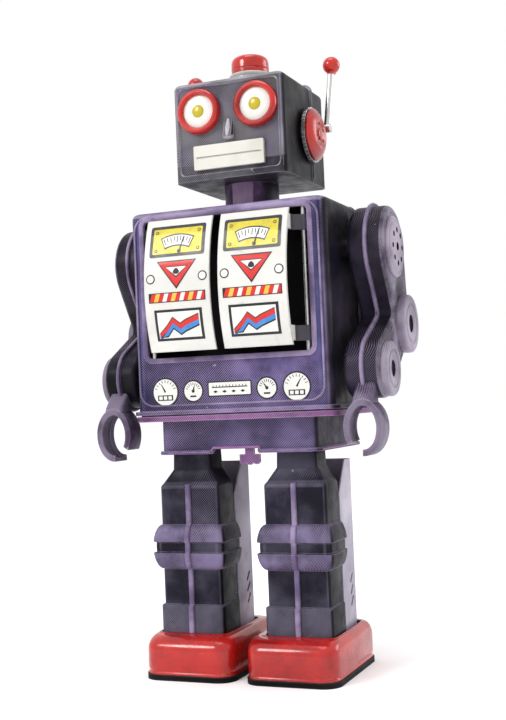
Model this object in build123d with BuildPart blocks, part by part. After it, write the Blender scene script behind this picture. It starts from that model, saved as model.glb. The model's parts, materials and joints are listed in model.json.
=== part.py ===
from build123d import *
import math
import os

# Tin wind-up walking robot. Millimetres, +Z up, the robot faces -Y and its own left is +X.
# The origin is on the ground, in the middle of the whole robot's footprint.

os.makedirs("parts", exist_ok=True)

# ---------------------------------------------------------------- driving dimensions
TIN = 0.6              # tinplate wall
GAP = 0.3              # clearance between pieces that move past each other
RUNNING = 0.05         # radial clearance of a shaft in its hole

TORSO_W, TORSO_D = 78.0, 57.0
TORSO_Y = -4.5         # middle of the torso, front to back
TORSO_LOW, TORSO_HIGH = 97.0, 173.0
TORSO_FRONT = TORSO_Y - TORSO_D / 2
TORSO_REAR = TORSO_Y + TORSO_D / 2
TORSO_SEAM_Y = 4.0
WINDOW_HALF_W, WINDOW_LOW, WINDOW_HIGH = 33.0, 117.6, 170.0
TRAY_DEPTH = 20.0

SHOULDER_Y, SHOULDER_Z = -1.0, 156.0
HIP_Y, HIP_Z = -11.5, 88.0
CRANK_Y, CRANK_Z = HIP_Y, 108.0
REACH = 43.5           # how far the doors stand out in front and the key behind

DOOR_GAP_HALF, DOOR_OUTER = 1.6, 27.8
DOOR_LOW, DOOR_HIGH = 120.0, 168.7
HINGE_X, HINGE_Y, HINGE_R = 30.7, -31.4, 0.9

SKIRT_W, SKIRT_D, SKIRT_Y = 62.0, 50.0, -3.5
SKIRT_LOW, SKIRT_HIGH = 82.0, 94.5

LEG_X, LEG_HALF_W = 21.0, 12.0
LEG_FRONT, LEG_SPLIT, LEG_REAR = -27.5, -11.5, 4.5
LEG_LOW, LEG_SHOULDER, LEG_TOP = 9.0, 72.0, 85.0
SHOE_X, SHOE_W, SHOE_FRONT, SHOE_REAR, SHOE_HIGH = 20.0, 34.8, -37.5, 12.5, 16.0
SOLE = 2.0
ROLLER_Y, ROLLER_Z, ROLLER_R = -8.0, 4.4, 4.0

HEAD_W, HEAD_FRONT, HEAD_REAR, HEAD_SEAM_Y = 45.0, -24.5, 21.5, 5.5
HEAD_LOW, HEAD_HIGH = 184.3, 222.0
NECK_Y, NECK_R, SPIGOT_R = -3.0, 10.5, 7.0
EYE_X, EYE_Z, EYE_R = 11.5, 210.5, 8.5
FACE_SINK = 0.8
EAR_Y, EAR_Z, EAR_R = 0.5, 202.0, 10.0

ARM_IN, ARM_SEAM, ARM_OUT = 41.5, 48.5, 55.0
SHOULDER_R, ELBOW_R, WRIST_R = 15.5, 12.0, 11.0
ELBOW_Y, ELBOW_Z = 9.3, 127.6
WRIST_Y, WRIST_Z = -16.5, 111.0
HAND_X, HAND_Z, HAND_FRONT, HAND_BACK = 49.3, 90.0, -32.0, -22.5
HAND_HALF_W, HAND_HALF_H = 7.2, 10.0

MODULE = 0.8           # tooth module of every wheel in the clockwork
GREAT_TEETH, PINION_TEETH = 48, 12
CROWN_TEETH, CRANK_TEETH = 24, 10
SECOND_Z = CRANK_Z
WINDING_Z = SECOND_Z + MODULE * (GREAT_TEETH + PINION_TEETH) / 2
PLATE_FRONT_Y, PLATE_REAR_Y, PLATE_T = -1.0, 14.0, 1.0
PLATE_HALF_W, PLATE_TOP = 18.0, 150.0
CRANK_THROW, CRANK_PIN_R, SHAFT_R = 2.5, 1.0, 1.25
WINDING_R, SECOND_R = 1.8, 1.2


# ---------------------------------------------------------------- helpers
def write_piece(piece, name):
    """Label one finished piece and write it out."""
    piece.part.label = name
    export_step(piece.part, f"parts/{name}.step")


def write_pair(piece, name):
    """Write the robot's left-hand piece and its mirror image on the right."""
    write_piece(piece, name + "_left")
    with BuildPart() as mirrored:
        mirror(piece.part, about=Plane.YZ)
    write_piece(mirrored, name + "_right")


def across(x):
    """A plane square to X at the given x, with sketch axes (y, z)."""
    return Plane.YZ.offset(x)


def facing_front(y):
    """A plane square to Y at the given y, looking forward, with sketch axes (x, z)."""
    return Plane.XZ.offset(-y)


def hollow_box(width, front, rear, low, high, corner, edge):
    """A pressed tin box: rounded upright corners, softened top, open underneath."""
    with BuildPart() as box:
        with BuildSketch(Plane.XY.offset(low)):
            with Locations((0, (front + rear) / 2)):
                RectangleRounded(width, rear - front, corner)
        extrude(amount=high - low)
        fillet(box.faces().sort_by(Axis.Z)[-1].edges(), edge)
        offset(amount=-TIN, openings=box.faces().sort_by(Axis.Z)[0])
    return box.part


def gear_outline(teeth, start_deg):
    """Slender straight-flanked teeth on a disc, one tooth pointing along start_deg."""
    pitch_r = MODULE * teeth / 2
    root_r = pitch_r - MODULE
    tip = pitch_r + 0.7 * MODULE
    foot_half, tip_half = 0.26 * math.pi * MODULE, 0.11 * math.pi * MODULE
    foot_x = root_r * 0.97
    with BuildSketch() as outline:
        Circle(root_r)
        with PolarLocations(0, teeth, start_angle=start_deg):
            Polygon(
                (foot_x, -foot_half), (tip, -tip_half), (tip, tip_half), (foot_x, foot_half),
                align=None,
            )
    return outline.sketch


def arm_outline(grow):
    """Side view of an arm: shoulder, elbow and wrist circles joined by straight sides."""
    shoulder = (SHOULDER_Y, SHOULDER_Z, SHOULDER_R + grow)
    elbow = (ELBOW_Y, ELBOW_Z, ELBOW_R - 3.5 + grow)
    wrist = (WRIST_Y, WRIST_Z, WRIST_R + grow)
    with BuildSketch() as outline:
        for start, end in ((shoulder, elbow), (elbow, wrist)):
            with BuildSketch(mode=Mode.PRIVATE) as limb:
                with Locations((start[0], start[1])):
                    Circle(start[2])
                with Locations((end[0], end[1])):
                    Circle(end[2])
                make_hull()
            add(limb.sketch)
    return outline.sketch


def arm_half(outward):
    """One pressed half of an arm, hollow towards the seam, with a thin seam flange."""
    depth = (ARM_OUT - ARM_SEAM) if outward else (ARM_SEAM - ARM_IN)
    step = 1 if outward else -1
    edge = 1.6
    seam = across(ARM_SEAM)
    with BuildPart() as half:
        with BuildSketch(seam):
            add(arm_outline(0))
        extrude(amount=step * depth)
        far_face = half.faces().sort_by(Axis.X)[-1 if outward else 0]
        fillet(far_face.edges(), edge)
        with BuildSketch(seam):
            add(arm_outline(1.3))
        extrude(amount=step * TIN)
        with BuildSketch(seam):
            add(arm_outline(-TIN))
        extrude(amount=step * (depth - TIN - edge / 2), mode=Mode.SUBTRACT)
        with BuildSketch(seam):
            add(arm_outline(-TIN - edge / 2))
        extrude(amount=step * (depth - TIN), mode=Mode.SUBTRACT)
    return half.part


# ---------------------------------------------------------------- torso shells
torso_box = hollow_box(TORSO_W, TORSO_FRONT, TORSO_REAR, TORSO_LOW, TORSO_HIGH, 5, 2)

with BuildPart() as torso_skin:
    add(torso_box)
    # rolled lip that flares out round the bottom edge
    with BuildSketch(Plane.XY.offset(TORSO_LOW)):
        with Locations((0, TORSO_Y)):
            RectangleRounded(TORSO_W + 3, TORSO_D + 3, 6.5)
            RectangleRounded(TORSO_W - 2 * TIN, TORSO_D - 2 * TIN, 4.4, mode=Mode.SUBTRACT)
    extrude(amount=1.4)
    # window in the chest
    with BuildSketch(facing_front(TORSO_FRONT - 1)):
        with Locations((0, (WINDOW_LOW + WINDOW_HIGH) / 2)):
            RectangleRounded(2 * WINDOW_HALF_W, WINDOW_HIGH - WINDOW_LOW, 1.5)
    extrude(amount=-3, mode=Mode.SUBTRACT)
    # neck hole, shoulder shaft holes and the hole for the winding key
    with BuildSketch(Plane.XY.offset(TORSO_HIGH - 2)):
        with Locations((0, NECK_Y)):
            Circle(SPIGOT_R + 0.08)
    extrude(amount=4, mode=Mode.SUBTRACT)
    with BuildSketch(across(-TORSO_W / 2 - 2)):
        with Locations((SHOULDER_Y, SHOULDER_Z)):
            Circle(2.0)
    extrude(amount=TORSO_W + 4, mode=Mode.SUBTRACT)
    with BuildSketch(facing_front(TORSO_REAR + 2)):
        with Locations((0, WINDING_Z)):
            Circle(4.0)
    extrude(amount=4, mode=Mode.SUBTRACT)

with BuildPart() as torso_front_shell:
    add(torso_skin.part)
    split(bisect_by=facing_front(TORSO_SEAM_Y), keep=Keep.TOP)
write_piece(torso_front_shell, "torso_front_shell")

with BuildPart() as torso_rear_shell:
    add(torso_skin.part)
    split(bisect_by=facing_front(TORSO_SEAM_Y), keep=Keep.BOTTOM)
    # pressed stiffening rib round the middle of the back
    with BuildSketch(facing_front(TORSO_REAR)):
        with Locations((0, WINDING_Z)):
            RectangleRounded(56, 44, 5)
            RectangleRounded(52.4, 40.4, 3.6, mode=Mode.SUBTRACT)
    extrude(amount=-0.8)
write_piece(torso_rear_shell, "torso_rear_shell")

# black tray behind the window, closed at the back
with BuildPart() as chest_tray:
    tray_middle_z = (WINDOW_LOW + WINDOW_HIGH) / 2
    tray_w, tray_h = 2 * WINDOW_HALF_W + 1, WINDOW_HIGH - WINDOW_LOW + 1
    with BuildSketch(facing_front(TORSO_FRONT + TIN)):
        with Locations((0, tray_middle_z)):
            Rectangle(tray_w + 2 * TIN, tray_h + 2 * TIN)
    extrude(amount=-TRAY_DEPTH)
    with BuildSketch(facing_front(TORSO_FRONT + TIN)):
        with Locations((0, tray_middle_z)):
            Rectangle(tray_w, tray_h)
    extrude(amount=-(TRAY_DEPTH - TIN), mode=Mode.SUBTRACT)
write_piece(chest_tray, "chest_tray")

# upright rods that the two doors turn on
with BuildPart() as hinge_rods:
    with BuildSketch(Plane.XY.offset(WINDOW_LOW - 0.5)):
        with Locations((HINGE_X, HINGE_Y), (-HINGE_X, HINGE_Y)):
            Circle(HINGE_R)
    extrude(amount=WINDOW_HIGH - WINDOW_LOW + 1)
write_piece(hinge_rods, "hinge_rods")

# ---------------------------------------------------------------- doors
DOOR_TOP_Y, DOOR_MID_Y, DOOR_FOOT_Y = -38.0, -REACH, -39.5
DOOR_MID_Z = 145.0
KNUCKLE_R, KNUCKLE_LOWS, KNUCKLE_H = 1.7, (121.5, 161.0), 5.5
LEAF_BEND_Y = -34.6

with BuildPart() as door_sheet:
    with BuildSketch(across(DOOR_GAP_HALF)):
        with BuildLine():
            ThreePointArc((DOOR_TOP_Y, DOOR_HIGH), (DOOR_MID_Y, DOOR_MID_Z), (DOOR_FOOT_Y, DOOR_LOW))
            Line((DOOR_FOOT_Y, DOOR_LOW), (DOOR_FOOT_Y + 0.8, DOOR_LOW))
            ThreePointArc(
                (DOOR_FOOT_Y + 0.8, DOOR_LOW), (DOOR_MID_Y + 0.8, DOOR_MID_Z), (DOOR_TOP_Y + 0.8, DOOR_HIGH)
            )
            Line((DOOR_TOP_Y + 0.8, DOOR_HIGH), (DOOR_TOP_Y, DOOR_HIGH))
        make_face()
    extrude(amount=DOOR_OUTER - DOOR_GAP_HALF)

with BuildPart() as door:
    add(door_sheet.part)
    for low in KNUCKLE_LOWS:
        with BuildSketch(Plane.XY.offset(low)):
            with Locations((HINGE_X, HINGE_Y)):
                Circle(KNUCKLE_R)
            with BuildLine():
                Polyline(
                    (DOOR_OUTER - 0.8, DOOR_MID_Y), (DOOR_OUTER, DOOR_MID_Y), (DOOR_OUTER, LEAF_BEND_Y),
                    (HINGE_X + 0.4, HINGE_Y - 1.2), (HINGE_X - 0.4, HINGE_Y - 0.8),
                    (DOOR_OUTER - 0.8, LEAF_BEND_Y + 0.4), close=True,
                )
            make_face()
            with Locations((HINGE_X, HINGE_Y)):
                Circle(HINGE_R + RUNNING, mode=Mode.SUBTRACT)
        extrude(amount=KNUCKLE_H)
    # trim the hinge leaves flush with the bowed front
    with BuildSketch(across(DOOR_OUTER - 1.2)):
        with BuildLine():
            ThreePointArc((DOOR_TOP_Y, DOOR_HIGH), (DOOR_MID_Y, DOOR_MID_Z), (DOOR_FOOT_Y, DOOR_LOW))
            Polyline(
                (DOOR_FOOT_Y, DOOR_LOW), (DOOR_MID_Y - 2, DOOR_LOW),
                (DOOR_MID_Y - 2, DOOR_HIGH), (DOOR_TOP_Y, DOOR_HIGH),
            )
        make_face()
    extrude(amount=2.4, mode=Mode.SUBTRACT)
write_pair(door, "door")

# ---------------------------------------------------------------- base plate and skirt
with BuildPart() as base_plate:
    with BuildSketch(Plane.XY.offset(SKIRT_HIGH)):
        with Locations((0, TORSO_Y)):
            RectangleRounded(TORSO_W + 2, TORSO_D + 2, 6)
    extrude(amount=TORSO_LOW - 0.5 - SKIRT_HIGH)
    with BuildSketch(Plane.XY.offset(TORSO_LOW - 0.5)):
        with Locations((0, TORSO_Y)):
            RectangleRounded(TORSO_W - 2 * TIN, TORSO_D - 2 * TIN, 4.4)
            RectangleRounded(TORSO_W - 4 * TIN, TORSO_D - 4 * TIN, 3.8, mode=Mode.SUBTRACT)
    extrude(amount=3)
    # slots for the leg levers
    with BuildSketch(Plane.XY.offset(SKIRT_HIGH - 1)):
        with Locations((LEG_X, HIP_Y), (-LEG_X, HIP_Y)):
            Rectangle(3, 14)
    extrude(amount=5, mode=Mode.SUBTRACT)
write_piece(base_plate, "base_plate")

with BuildPart() as skirt:
    with BuildSketch(Plane.XY.offset(SKIRT_LOW)):
        with Locations((0, SKIRT_Y)):
            RectangleRounded(SKIRT_W, SKIRT_D, 3)
            RectangleRounded(SKIRT_W - 2 * TIN, SKIRT_D - 2 * TIN, 2.4, mode=Mode.SUBTRACT)
    extrude(amount=SKIRT_HIGH - SKIRT_LOW)
    with BuildSketch(Plane.XY.offset(SKIRT_LOW)):
        with Locations((0, SKIRT_Y)):
            RectangleRounded(SKIRT_W + 2.4, SKIRT_D + 2.4, 4.2)
            RectangleRounded(SKIRT_W - 2 * TIN, SKIRT_D - 2 * TIN, 2.4, mode=Mode.SUBTRACT)
    extrude(amount=1.2)
    # raised notch in the front edge, between the legs
    with BuildSketch(facing_front(SKIRT_Y - SKIRT_D / 2 - 3)):
        with BuildLine():
            Polyline((-10, 81), (-8.5, 84), (8, 84), (9.5, 81), close=True)
        make_face()
    extrude(amount=-6, mode=Mode.SUBTRACT)
write_piece(skirt, "skirt")

# stop lever: a small scalloped tab that hangs below the notch and slides sideways
with BuildPart() as stop_lever:
    stem_y = SKIRT_Y - SKIRT_D / 2 + TIN + GAP
    with BuildSketch(facing_front(stem_y)):
        with Locations((4.5, 87)):
            Rectangle(3.5, 13)
        with Locations((4.5, 80.3)):
            Rectangle(8, 2.4)
        with Locations((1.9, 79.2), (4.5, 79.0), (7.1, 79.2)):
            Circle(1.45)
    extrude(amount=-1.0)
write_piece(stop_lever, "stop_lever")

# ---------------------------------------------------------------- shafts
with BuildPart() as shoulder_shaft:
    with BuildSketch(across(-ARM_SEAM - 3)):
        with Locations((SHOULDER_Y, SHOULDER_Z)):
            Circle(2.0)
    extrude(amount=2 * ARM_SEAM + 6)
    for low_x in (TORSO_W / 2, ARM_IN + TIN + GAP):
        spacer = ARM_IN - TORSO_W / 2 - GAP if low_x == TORSO_W / 2 else 1.0
        for start in (low_x, -low_x - spacer):
            with BuildSketch(across(start)):
                with Locations((SHOULDER_Y, SHOULDER_Z)):
                    Circle(5.0)
            extrude(amount=spacer)
write_piece(shoulder_shaft, "shoulder_shaft")

with BuildPart() as hip_shaft:
    half_length = SKIRT_W / 2 - TIN
    with BuildSketch(across(-half_length)):
        with Locations((HIP_Y, HIP_Z)):
            Circle(2.0)
    extrude(amount=2 * half_length)
write_piece(hip_shaft, "hip_shaft")

# ---------------------------------------------------------------- clockwork frame
with BuildPart() as motor_plate_front:
    with BuildSketch(facing_front(PLATE_FRONT_Y)):
        with Locations((0, (TORSO_LOW - 0.5 + PLATE_TOP) / 2)):
            Rectangle(2 * PLATE_HALF_W, PLATE_TOP - TORSO_LOW + 0.5)
        with Locations((0, WINDING_Z)):
            Circle(WINDING_R + RUNNING, mode=Mode.SUBTRACT)
        with Locations((0, SECOND_Z)):
            Circle(SECOND_R + RUNNING, mode=Mode.SUBTRACT)
    extrude(amount=-PLATE_T)
    # ears folded forward that carry the crankshaft
    for ear_x in (-PLATE_HALF_W, PLATE_HALF_W - PLATE_T):
        with BuildSketch(across(ear_x)):
            with Locations(((PLATE_FRONT_Y - 15.5) / 2, CRANK_Z - 0.5)):
                Rectangle(15.5 + PLATE_FRONT_Y, 12)
            with Locations((CRANK_Y, CRANK_Z)):
                Circle(SHAFT_R + RUNNING, mode=Mode.SUBTRACT)
        extrude(amount=PLATE_T)
write_piece(motor_plate_front, "motor_plate_front")

with BuildPart() as motor_plate_rear:
    with BuildSketch(facing_front(PLATE_REAR_Y)):
        with Locations((0, (TORSO_LOW - 0.5 + PLATE_TOP) / 2)):
            Rectangle(2 * PLATE_HALF_W, PLATE_TOP - TORSO_LOW + 0.5)
        with Locations((0, WINDING_Z)):
            Circle(WINDING_R + RUNNING, mode=Mode.SUBTRACT)
        with Locations((0, SECOND_Z)):
            Circle(SECOND_R + RUNNING, mode=Mode.SUBTRACT)
    extrude(amount=-PLATE_T)
write_piece(motor_plate_rear, "motor_plate_rear")

PILLAR_X, PILLAR_TOP_Z, PILLAR_LOW_Z, PILLAR_R = 15.5, 148.0, 99.5, 1.4
with BuildPart() as motor_pillars:
    with BuildSketch(facing_front(PLATE_REAR_Y)):
        with Locations(
            (PILLAR_X, PILLAR_TOP_Z), (-PILLAR_X, PILLAR_TOP_Z),
            (PILLAR_X, PILLAR_LOW_Z), (-PILLAR_X, PILLAR_LOW_Z),
        ):
            Circle(PILLAR_R)
    extrude(amount=PLATE_REAR_Y - PLATE_FRONT_Y - PLATE_T)
write_piece(motor_pillars, "motor_pillars")

# mainspring: half-turn arcs whose radius grows, ending in a straight tail at a pillar
SPRING_T, SPRING_STEP, SPRING_TURNS = 0.45, 0.75, 8
with BuildPart() as mainspring:
    with BuildSketch(facing_front(12.8)):
        with BuildLine():
            for half_turn in range(2 * SPRING_TURNS + 1):
                upper = half_turn % 2 == 1
                centre_x = -SPRING_STEP if upper else 0
                radius = PILLAR_X - SPRING_STEP * (2 * SPRING_TURNS - half_turn)
                CenterArc((centre_x, WINDING_Z), radius, 0 if upper else 180, 180)
            Line((PILLAR_X, WINDING_Z), (PILLAR_X, PILLAR_TOP_Z - PILLAR_R))
        trace(line_width=SPRING_T)
    extrude(amount=6)
write_piece(mainspring, "mainspring")

# ---------------------------------------------------------------- winding arbor, key and great wheel
with BuildPart() as winding_arbor:
    with BuildSketch(facing_front(TORSO_REAR + 7)):
        with Locations((0, WINDING_Z)):
            Circle(WINDING_R)
    extrude(amount=TORSO_REAR + 7 - (PLATE_FRONT_Y - 0.8))
write_piece(winding_arbor, "winding_arbor")

with BuildPart() as great_wheel:
    with BuildSketch(facing_front(5.2)):
        with Locations((0, WINDING_Z)):
            add(gear_outline(GREAT_TEETH, -90))
            Circle(WINDING_R, mode=Mode.SUBTRACT)
            with PolarLocations(11.5, 4, start_angle=45):
                Circle(3.4, mode=Mode.SUBTRACT)
    extrude(amount=1.6)
write_piece(great_wheel, "great_wheel")

with BuildPart() as winding_key:
    barrel_start, barrel_length = TORSO_REAR + 2.2, 9.0
    with BuildSketch(facing_front(barrel_start + barrel_length)):
        with Locations((0, WINDING_Z)):
            Circle(3.0)
    extrude(amount=barrel_length)
    with BuildSketch(facing_front(TORSO_REAR + 7)):
        with Locations((0, WINDING_Z)):
            Circle(WINDING_R)
    extrude(amount=4.9, mode=Mode.SUBTRACT)
    # butterfly wings, a flat plate with two round lobes and a finger hole in each
    with BuildSketch(Plane.XY.offset(WINDING_Z - 0.8)):
        lobe_r = 6.0
        lobe_y = REACH - lobe_r
        for side in (-1, 1):
            with Locations((side * 7.2, lobe_y)):
                Circle(lobe_r)
        with Locations((0, lobe_y - 0.6)):
            Rectangle(15, 6.4)
        for side in (-1, 1):
            with Locations((side * 7.6, lobe_y)):
                Circle(2.6, mode=Mode.SUBTRACT)
    extrude(amount=1.6)
write_piece(winding_key, "winding_key")

# ---------------------------------------------------------------- second arbor with its crown wheel
CROWN_R = MODULE * CROWN_TEETH / 2
CROWN_PITCH_Y = CRANK_Y + MODULE * CRANK_TEETH / 2
CROWN_FACE_Y = CROWN_PITCH_Y + 0.9

with BuildPart() as second_arbor:
    with BuildSketch(facing_front(PLATE_REAR_Y + PLATE_T + 0.8)):
        with Locations((0, SECOND_Z)):
            Circle(SECOND_R)
    extrude(amount=PLATE_REAR_Y + PLATE_T + 0.8 - CROWN_FACE_Y)
    with BuildSketch(facing_front(5.8)):
        with Locations((0, SECOND_Z)):
            add(gear_outline(PINION_TEETH, 90 + 180 / PINION_TEETH))
    extrude(amount=2.8)
write_piece(second_arbor, "second_arbor")

# one upright tooth of the rim, a slender wedge pointing forward
with BuildPart() as crown_tooth:
    foot_half, tip_half = 0.2 * math.pi * MODULE, 0.1 * math.pi * MODULE
    tooth_tip_y = CROWN_PITCH_Y - 0.7 * MODULE
    with BuildSketch(across(CROWN_R - 1)):
        Polygon(
            (CROWN_FACE_Y, SECOND_Z - foot_half), (tooth_tip_y, SECOND_Z - tip_half),
            (tooth_tip_y, SECOND_Z + tip_half), (CROWN_FACE_Y, SECOND_Z + foot_half),
            align=None,
        )
    extrude(amount=2)

with BuildPart() as crown_wheel:
    with BuildSketch(facing_front(CROWN_FACE_Y + 1.2)):
        with Locations((0, SECOND_Z)):
            Circle(CROWN_R + 1.0)
            Circle(SECOND_R, mode=Mode.SUBTRACT)
    extrude(amount=1.2)
    for tooth in range(CROWN_TEETH):
        turn = 360 * (tooth + 0.5) / CROWN_TEETH
        add(crown_tooth.part.rotate(Axis((0, 0, SECOND_Z), (0, 1, 0)), turn))
write_piece(crown_wheel, "crown_wheel")

# ---------------------------------------------------------------- crankshaft
CRANK_ARM_X = PLATE_HALF_W + 0.4
with BuildPart() as crankshaft:
    with BuildSketch(across(-CRANK_ARM_X)):
        with Locations((CRANK_Y, CRANK_Z)):
            Circle(SHAFT_R)
    extrude(amount=2 * CRANK_ARM_X)
    with BuildSketch(across(CROWN_R - 1.2)):
        with Locations((CRANK_Y, CRANK_Z)):
            add(gear_outline(CRANK_TEETH, 0))
    extrude(amount=2.4)
    # a crank disc at each end, with the two pins half a turn apart
    for side in (-1, 1):
        with BuildSketch(across(side * CRANK_ARM_X)):
            with Locations((CRANK_Y, CRANK_Z)):
                Circle(4.6)
        extrude(amount=side * 1.2)
        with BuildSketch(across(side * (CRANK_ARM_X + 1.2))):
            with Locations((CRANK_Y, CRANK_Z + side * CRANK_THROW)):
                Circle(CRANK_PIN_R)
        extrude(amount=side * (LEG_X - CRANK_ARM_X))
write_piece(crankshaft, "crankshaft")

# ---------------------------------------------------------------- legs
KNEE_LOW, KNEE_HIGH, KNEE_BULGE = 40.0, 55.0, 2.8
KNEE_GROOVE_LOW, KNEE_GROOVE_HIGH, KNEE_GROOVE_BULGE = 45.4, 49.6, 1.6
CUFF_HIGH, CUFF_BULGE = 26.0, 0.9
SHOULDER_STEP = 70.0
NECK_HALF_W, NECK_FRONT = 7.5, -24.0

# front of the leg as stacked bands: (low, high, half width, front)
leg_bands = (
    (LEG_LOW, SHOULDER_STEP, LEG_HALF_W, LEG_FRONT),
    (LEG_LOW, CUFF_HIGH, LEG_HALF_W + CUFF_BULGE, LEG_FRONT - CUFF_BULGE),
    (KNEE_LOW, KNEE_GROOVE_LOW, LEG_HALF_W + KNEE_BULGE, LEG_FRONT - KNEE_BULGE),
    (KNEE_GROOVE_LOW, KNEE_GROOVE_HIGH, LEG_HALF_W + KNEE_GROOVE_BULGE, LEG_FRONT - KNEE_GROOVE_BULGE),
    (KNEE_GROOVE_HIGH, KNEE_HIGH, LEG_HALF_W + KNEE_BULGE, LEG_FRONT - KNEE_BULGE),
    (SHOULDER_STEP, LEG_SHOULDER, LEG_HALF_W - 1.6, LEG_FRONT + 1.2),
    (LEG_SHOULDER, LEG_TOP, NECK_HALF_W, NECK_FRONT),
)
with BuildPart() as leg_front_shell:
    for low, high, half_w, front in leg_bands:
        with BuildSketch(Plane.XY.offset(low)):
            with Locations((LEG_X, (front + LEG_SPLIT + 4) / 2)):
                RectangleRounded(2 * half_w, LEG_SPLIT + 4 - front, 2.4)
        extrude(amount=high - low)
    # rib that stands out down the middle, following every step
    for low, high, half_w, front in leg_bands[:-2]:
        with BuildSketch(Plane.XY.offset(low)):
            with Locations((LEG_X, front + 1)):
                Rectangle(1.4, 4.4)
        extrude(amount=high - low)
    # hollow it from behind and below
    for low, high, half_w, front in leg_bands:
        solid_low = LEG_LOW if low == LEG_LOW else low + TIN * (half_w > LEG_HALF_W)
        solid_high = high - TIN
        if high == LEG_TOP:
            solid_low, solid_high = low - 1, high + 1
        with BuildSketch(Plane.XY.offset(solid_low)):
            with Locations((LEG_X, (front + TIN + LEG_SPLIT + 5) / 2)):
                Rectangle(2 * (half_w - TIN) - 0.8, LEG_SPLIT + 5 - front - TIN)
        extrude(amount=solid_high - solid_low, mode=Mode.SUBTRACT)
    # way through for the flat lever inside the leg
    with BuildSketch(Plane.XY.offset(LEG_LOW - 1)):
        with Locations((LEG_X, LEG_SPLIT - 2)):
            Rectangle(3, 8)
    extrude(amount=LEG_TOP - LEG_LOW + 2, mode=Mode.SUBTRACT)
    # keep only what lies in front of the split
    with BuildSketch(Plane.XY.offset(LEG_LOW - 1)):
        with Locations((LEG_X, LEG_SPLIT + 10)):
            Rectangle(40, 20)
    extrude(amount=LEG_TOP - LEG_LOW + 2, mode=Mode.SUBTRACT)
    # neck stands clear of the hip shaft
    with BuildSketch(Plane.XY.offset(LEG_SHOULDER + 6)):
        with Locations((LEG_X, LEG_SPLIT + 8)):
            Rectangle(40, 21)
    extrude(amount=20, mode=Mode.SUBTRACT)
write_pair(leg_front_shell, "leg_front_shell")

REAR_TOP = 77.5
with BuildPart() as leg_rear_shell:
    with BuildSketch(Plane.XY.offset(LEG_LOW)):
        with Locations((LEG_X, (LEG_SPLIT + LEG_REAR) / 2)):
            RectangleRounded(2 * LEG_HALF_W, LEG_REAR - LEG_SPLIT, 2)
        with Locations((LEG_X, LEG_SPLIT + 1.1)):
            Rectangle(2 * LEG_HALF_W, 2.2)
        with Locations((LEG_X, (LEG_SPLIT + LEG_REAR) / 2 - TIN)):
            Rectangle(2 * (LEG_HALF_W - TIN), LEG_REAR - LEG_SPLIT, mode=Mode.SUBTRACT)
    extrude(amount=REAR_TOP - LEG_LOW)
    # top front corners of both side panels cut away on the slant
    with BuildSketch(across(LEG_X - LEG_HALF_W - 1)):
        Polygon(
            (LEG_SPLIT - 1, 66), (LEG_SPLIT, 66), (LEG_SPLIT + 8, REAR_TOP + 0.5),
            (LEG_SPLIT - 1, REAR_TOP + 0.5), align=None,
        )
    extrude(amount=2 * LEG_HALF_W + 2, mode=Mode.SUBTRACT)
    # three slanted louvre slots low on each side
    with BuildSketch(across(LEG_X - LEG_HALF_W - 1)):
        with Locations((-1.5, 24.5), (-1.5, 28.8), (-1.5, 33.1)):
            SlotOverall(4.6, 1.3, rotation=50)
    extrude(amount=2 * LEG_HALF_W + 2, mode=Mode.SUBTRACT)
write_pair(leg_rear_shell, "leg_rear_shell")

# flat lever inside the leg: riveted to the sole, hung on the hip shaft, slotted for the crank pin
LEVER_T, LEVER_HEAD_LOW, LEVER_HEAD_HIGH = 1.2, 100.5, 115.5
with BuildPart() as leg_lever:
    with BuildSketch(across(LEG_X - LEVER_T / 2)):
        with Locations((HIP_Y, (SOLE + LEVER_HEAD_LOW) / 2)):
            Rectangle(9, LEVER_HEAD_LOW - SOLE)
        with Locations((HIP_Y, (LEVER_HEAD_LOW + LEVER_HEAD_HIGH) / 2)):
            Rectangle(16.6, LEVER_HEAD_HIGH - LEVER_HEAD_LOW)
        with Locations((HIP_Y, CRANK_Z)):
            Rectangle(13, 10.2, mode=Mode.SUBTRACT)
        with Locations((HIP_Y, HIP_Z)):
            Circle(2 + RUNNING, mode=Mode.SUBTRACT)
        with Locations((ROLLER_Y, ROLLER_Z)):
            Rectangle(10.5, 10.5, mode=Mode.SUBTRACT)
    extrude(amount=LEVER_T)
write_pair(leg_lever, "leg_lever")

with BuildPart() as shoe:
    shoe_y = (SHOE_FRONT + SHOE_REAR) / 2
    with BuildSketch(Plane.XY.offset(SOLE)):
        with Locations((SHOE_X, shoe_y)):
            RectangleRounded(SHOE_W, SHOE_REAR - SHOE_FRONT, 6)
    extrude(amount=SHOE_HIGH - SOLE)
    fillet(shoe.faces().sort_by(Axis.Z)[-1].edges(), 3.6)
    offset(amount=-TIN, openings=shoe.faces().sort_by(Axis.Z)[0])
    # opening that the leg stands in, with its edge turned up
    leg_middle_y = (LEG_FRONT - CUFF_BULGE + LEG_REAR) / 2
    leg_depth = LEG_REAR - LEG_FRONT + CUFF_BULGE
    with BuildSketch(Plane.XY.offset(SHOE_HIGH - 3)):
        with Locations((LEG_X, leg_middle_y - 0.6)):
            RectangleRounded(2 * (LEG_HALF_W + CUFF_BULGE) + 1.6, leg_depth + 2.6, 2.6)
    extrude(amount=5, mode=Mode.SUBTRACT)
write_pair(shoe, "shoe")

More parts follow.
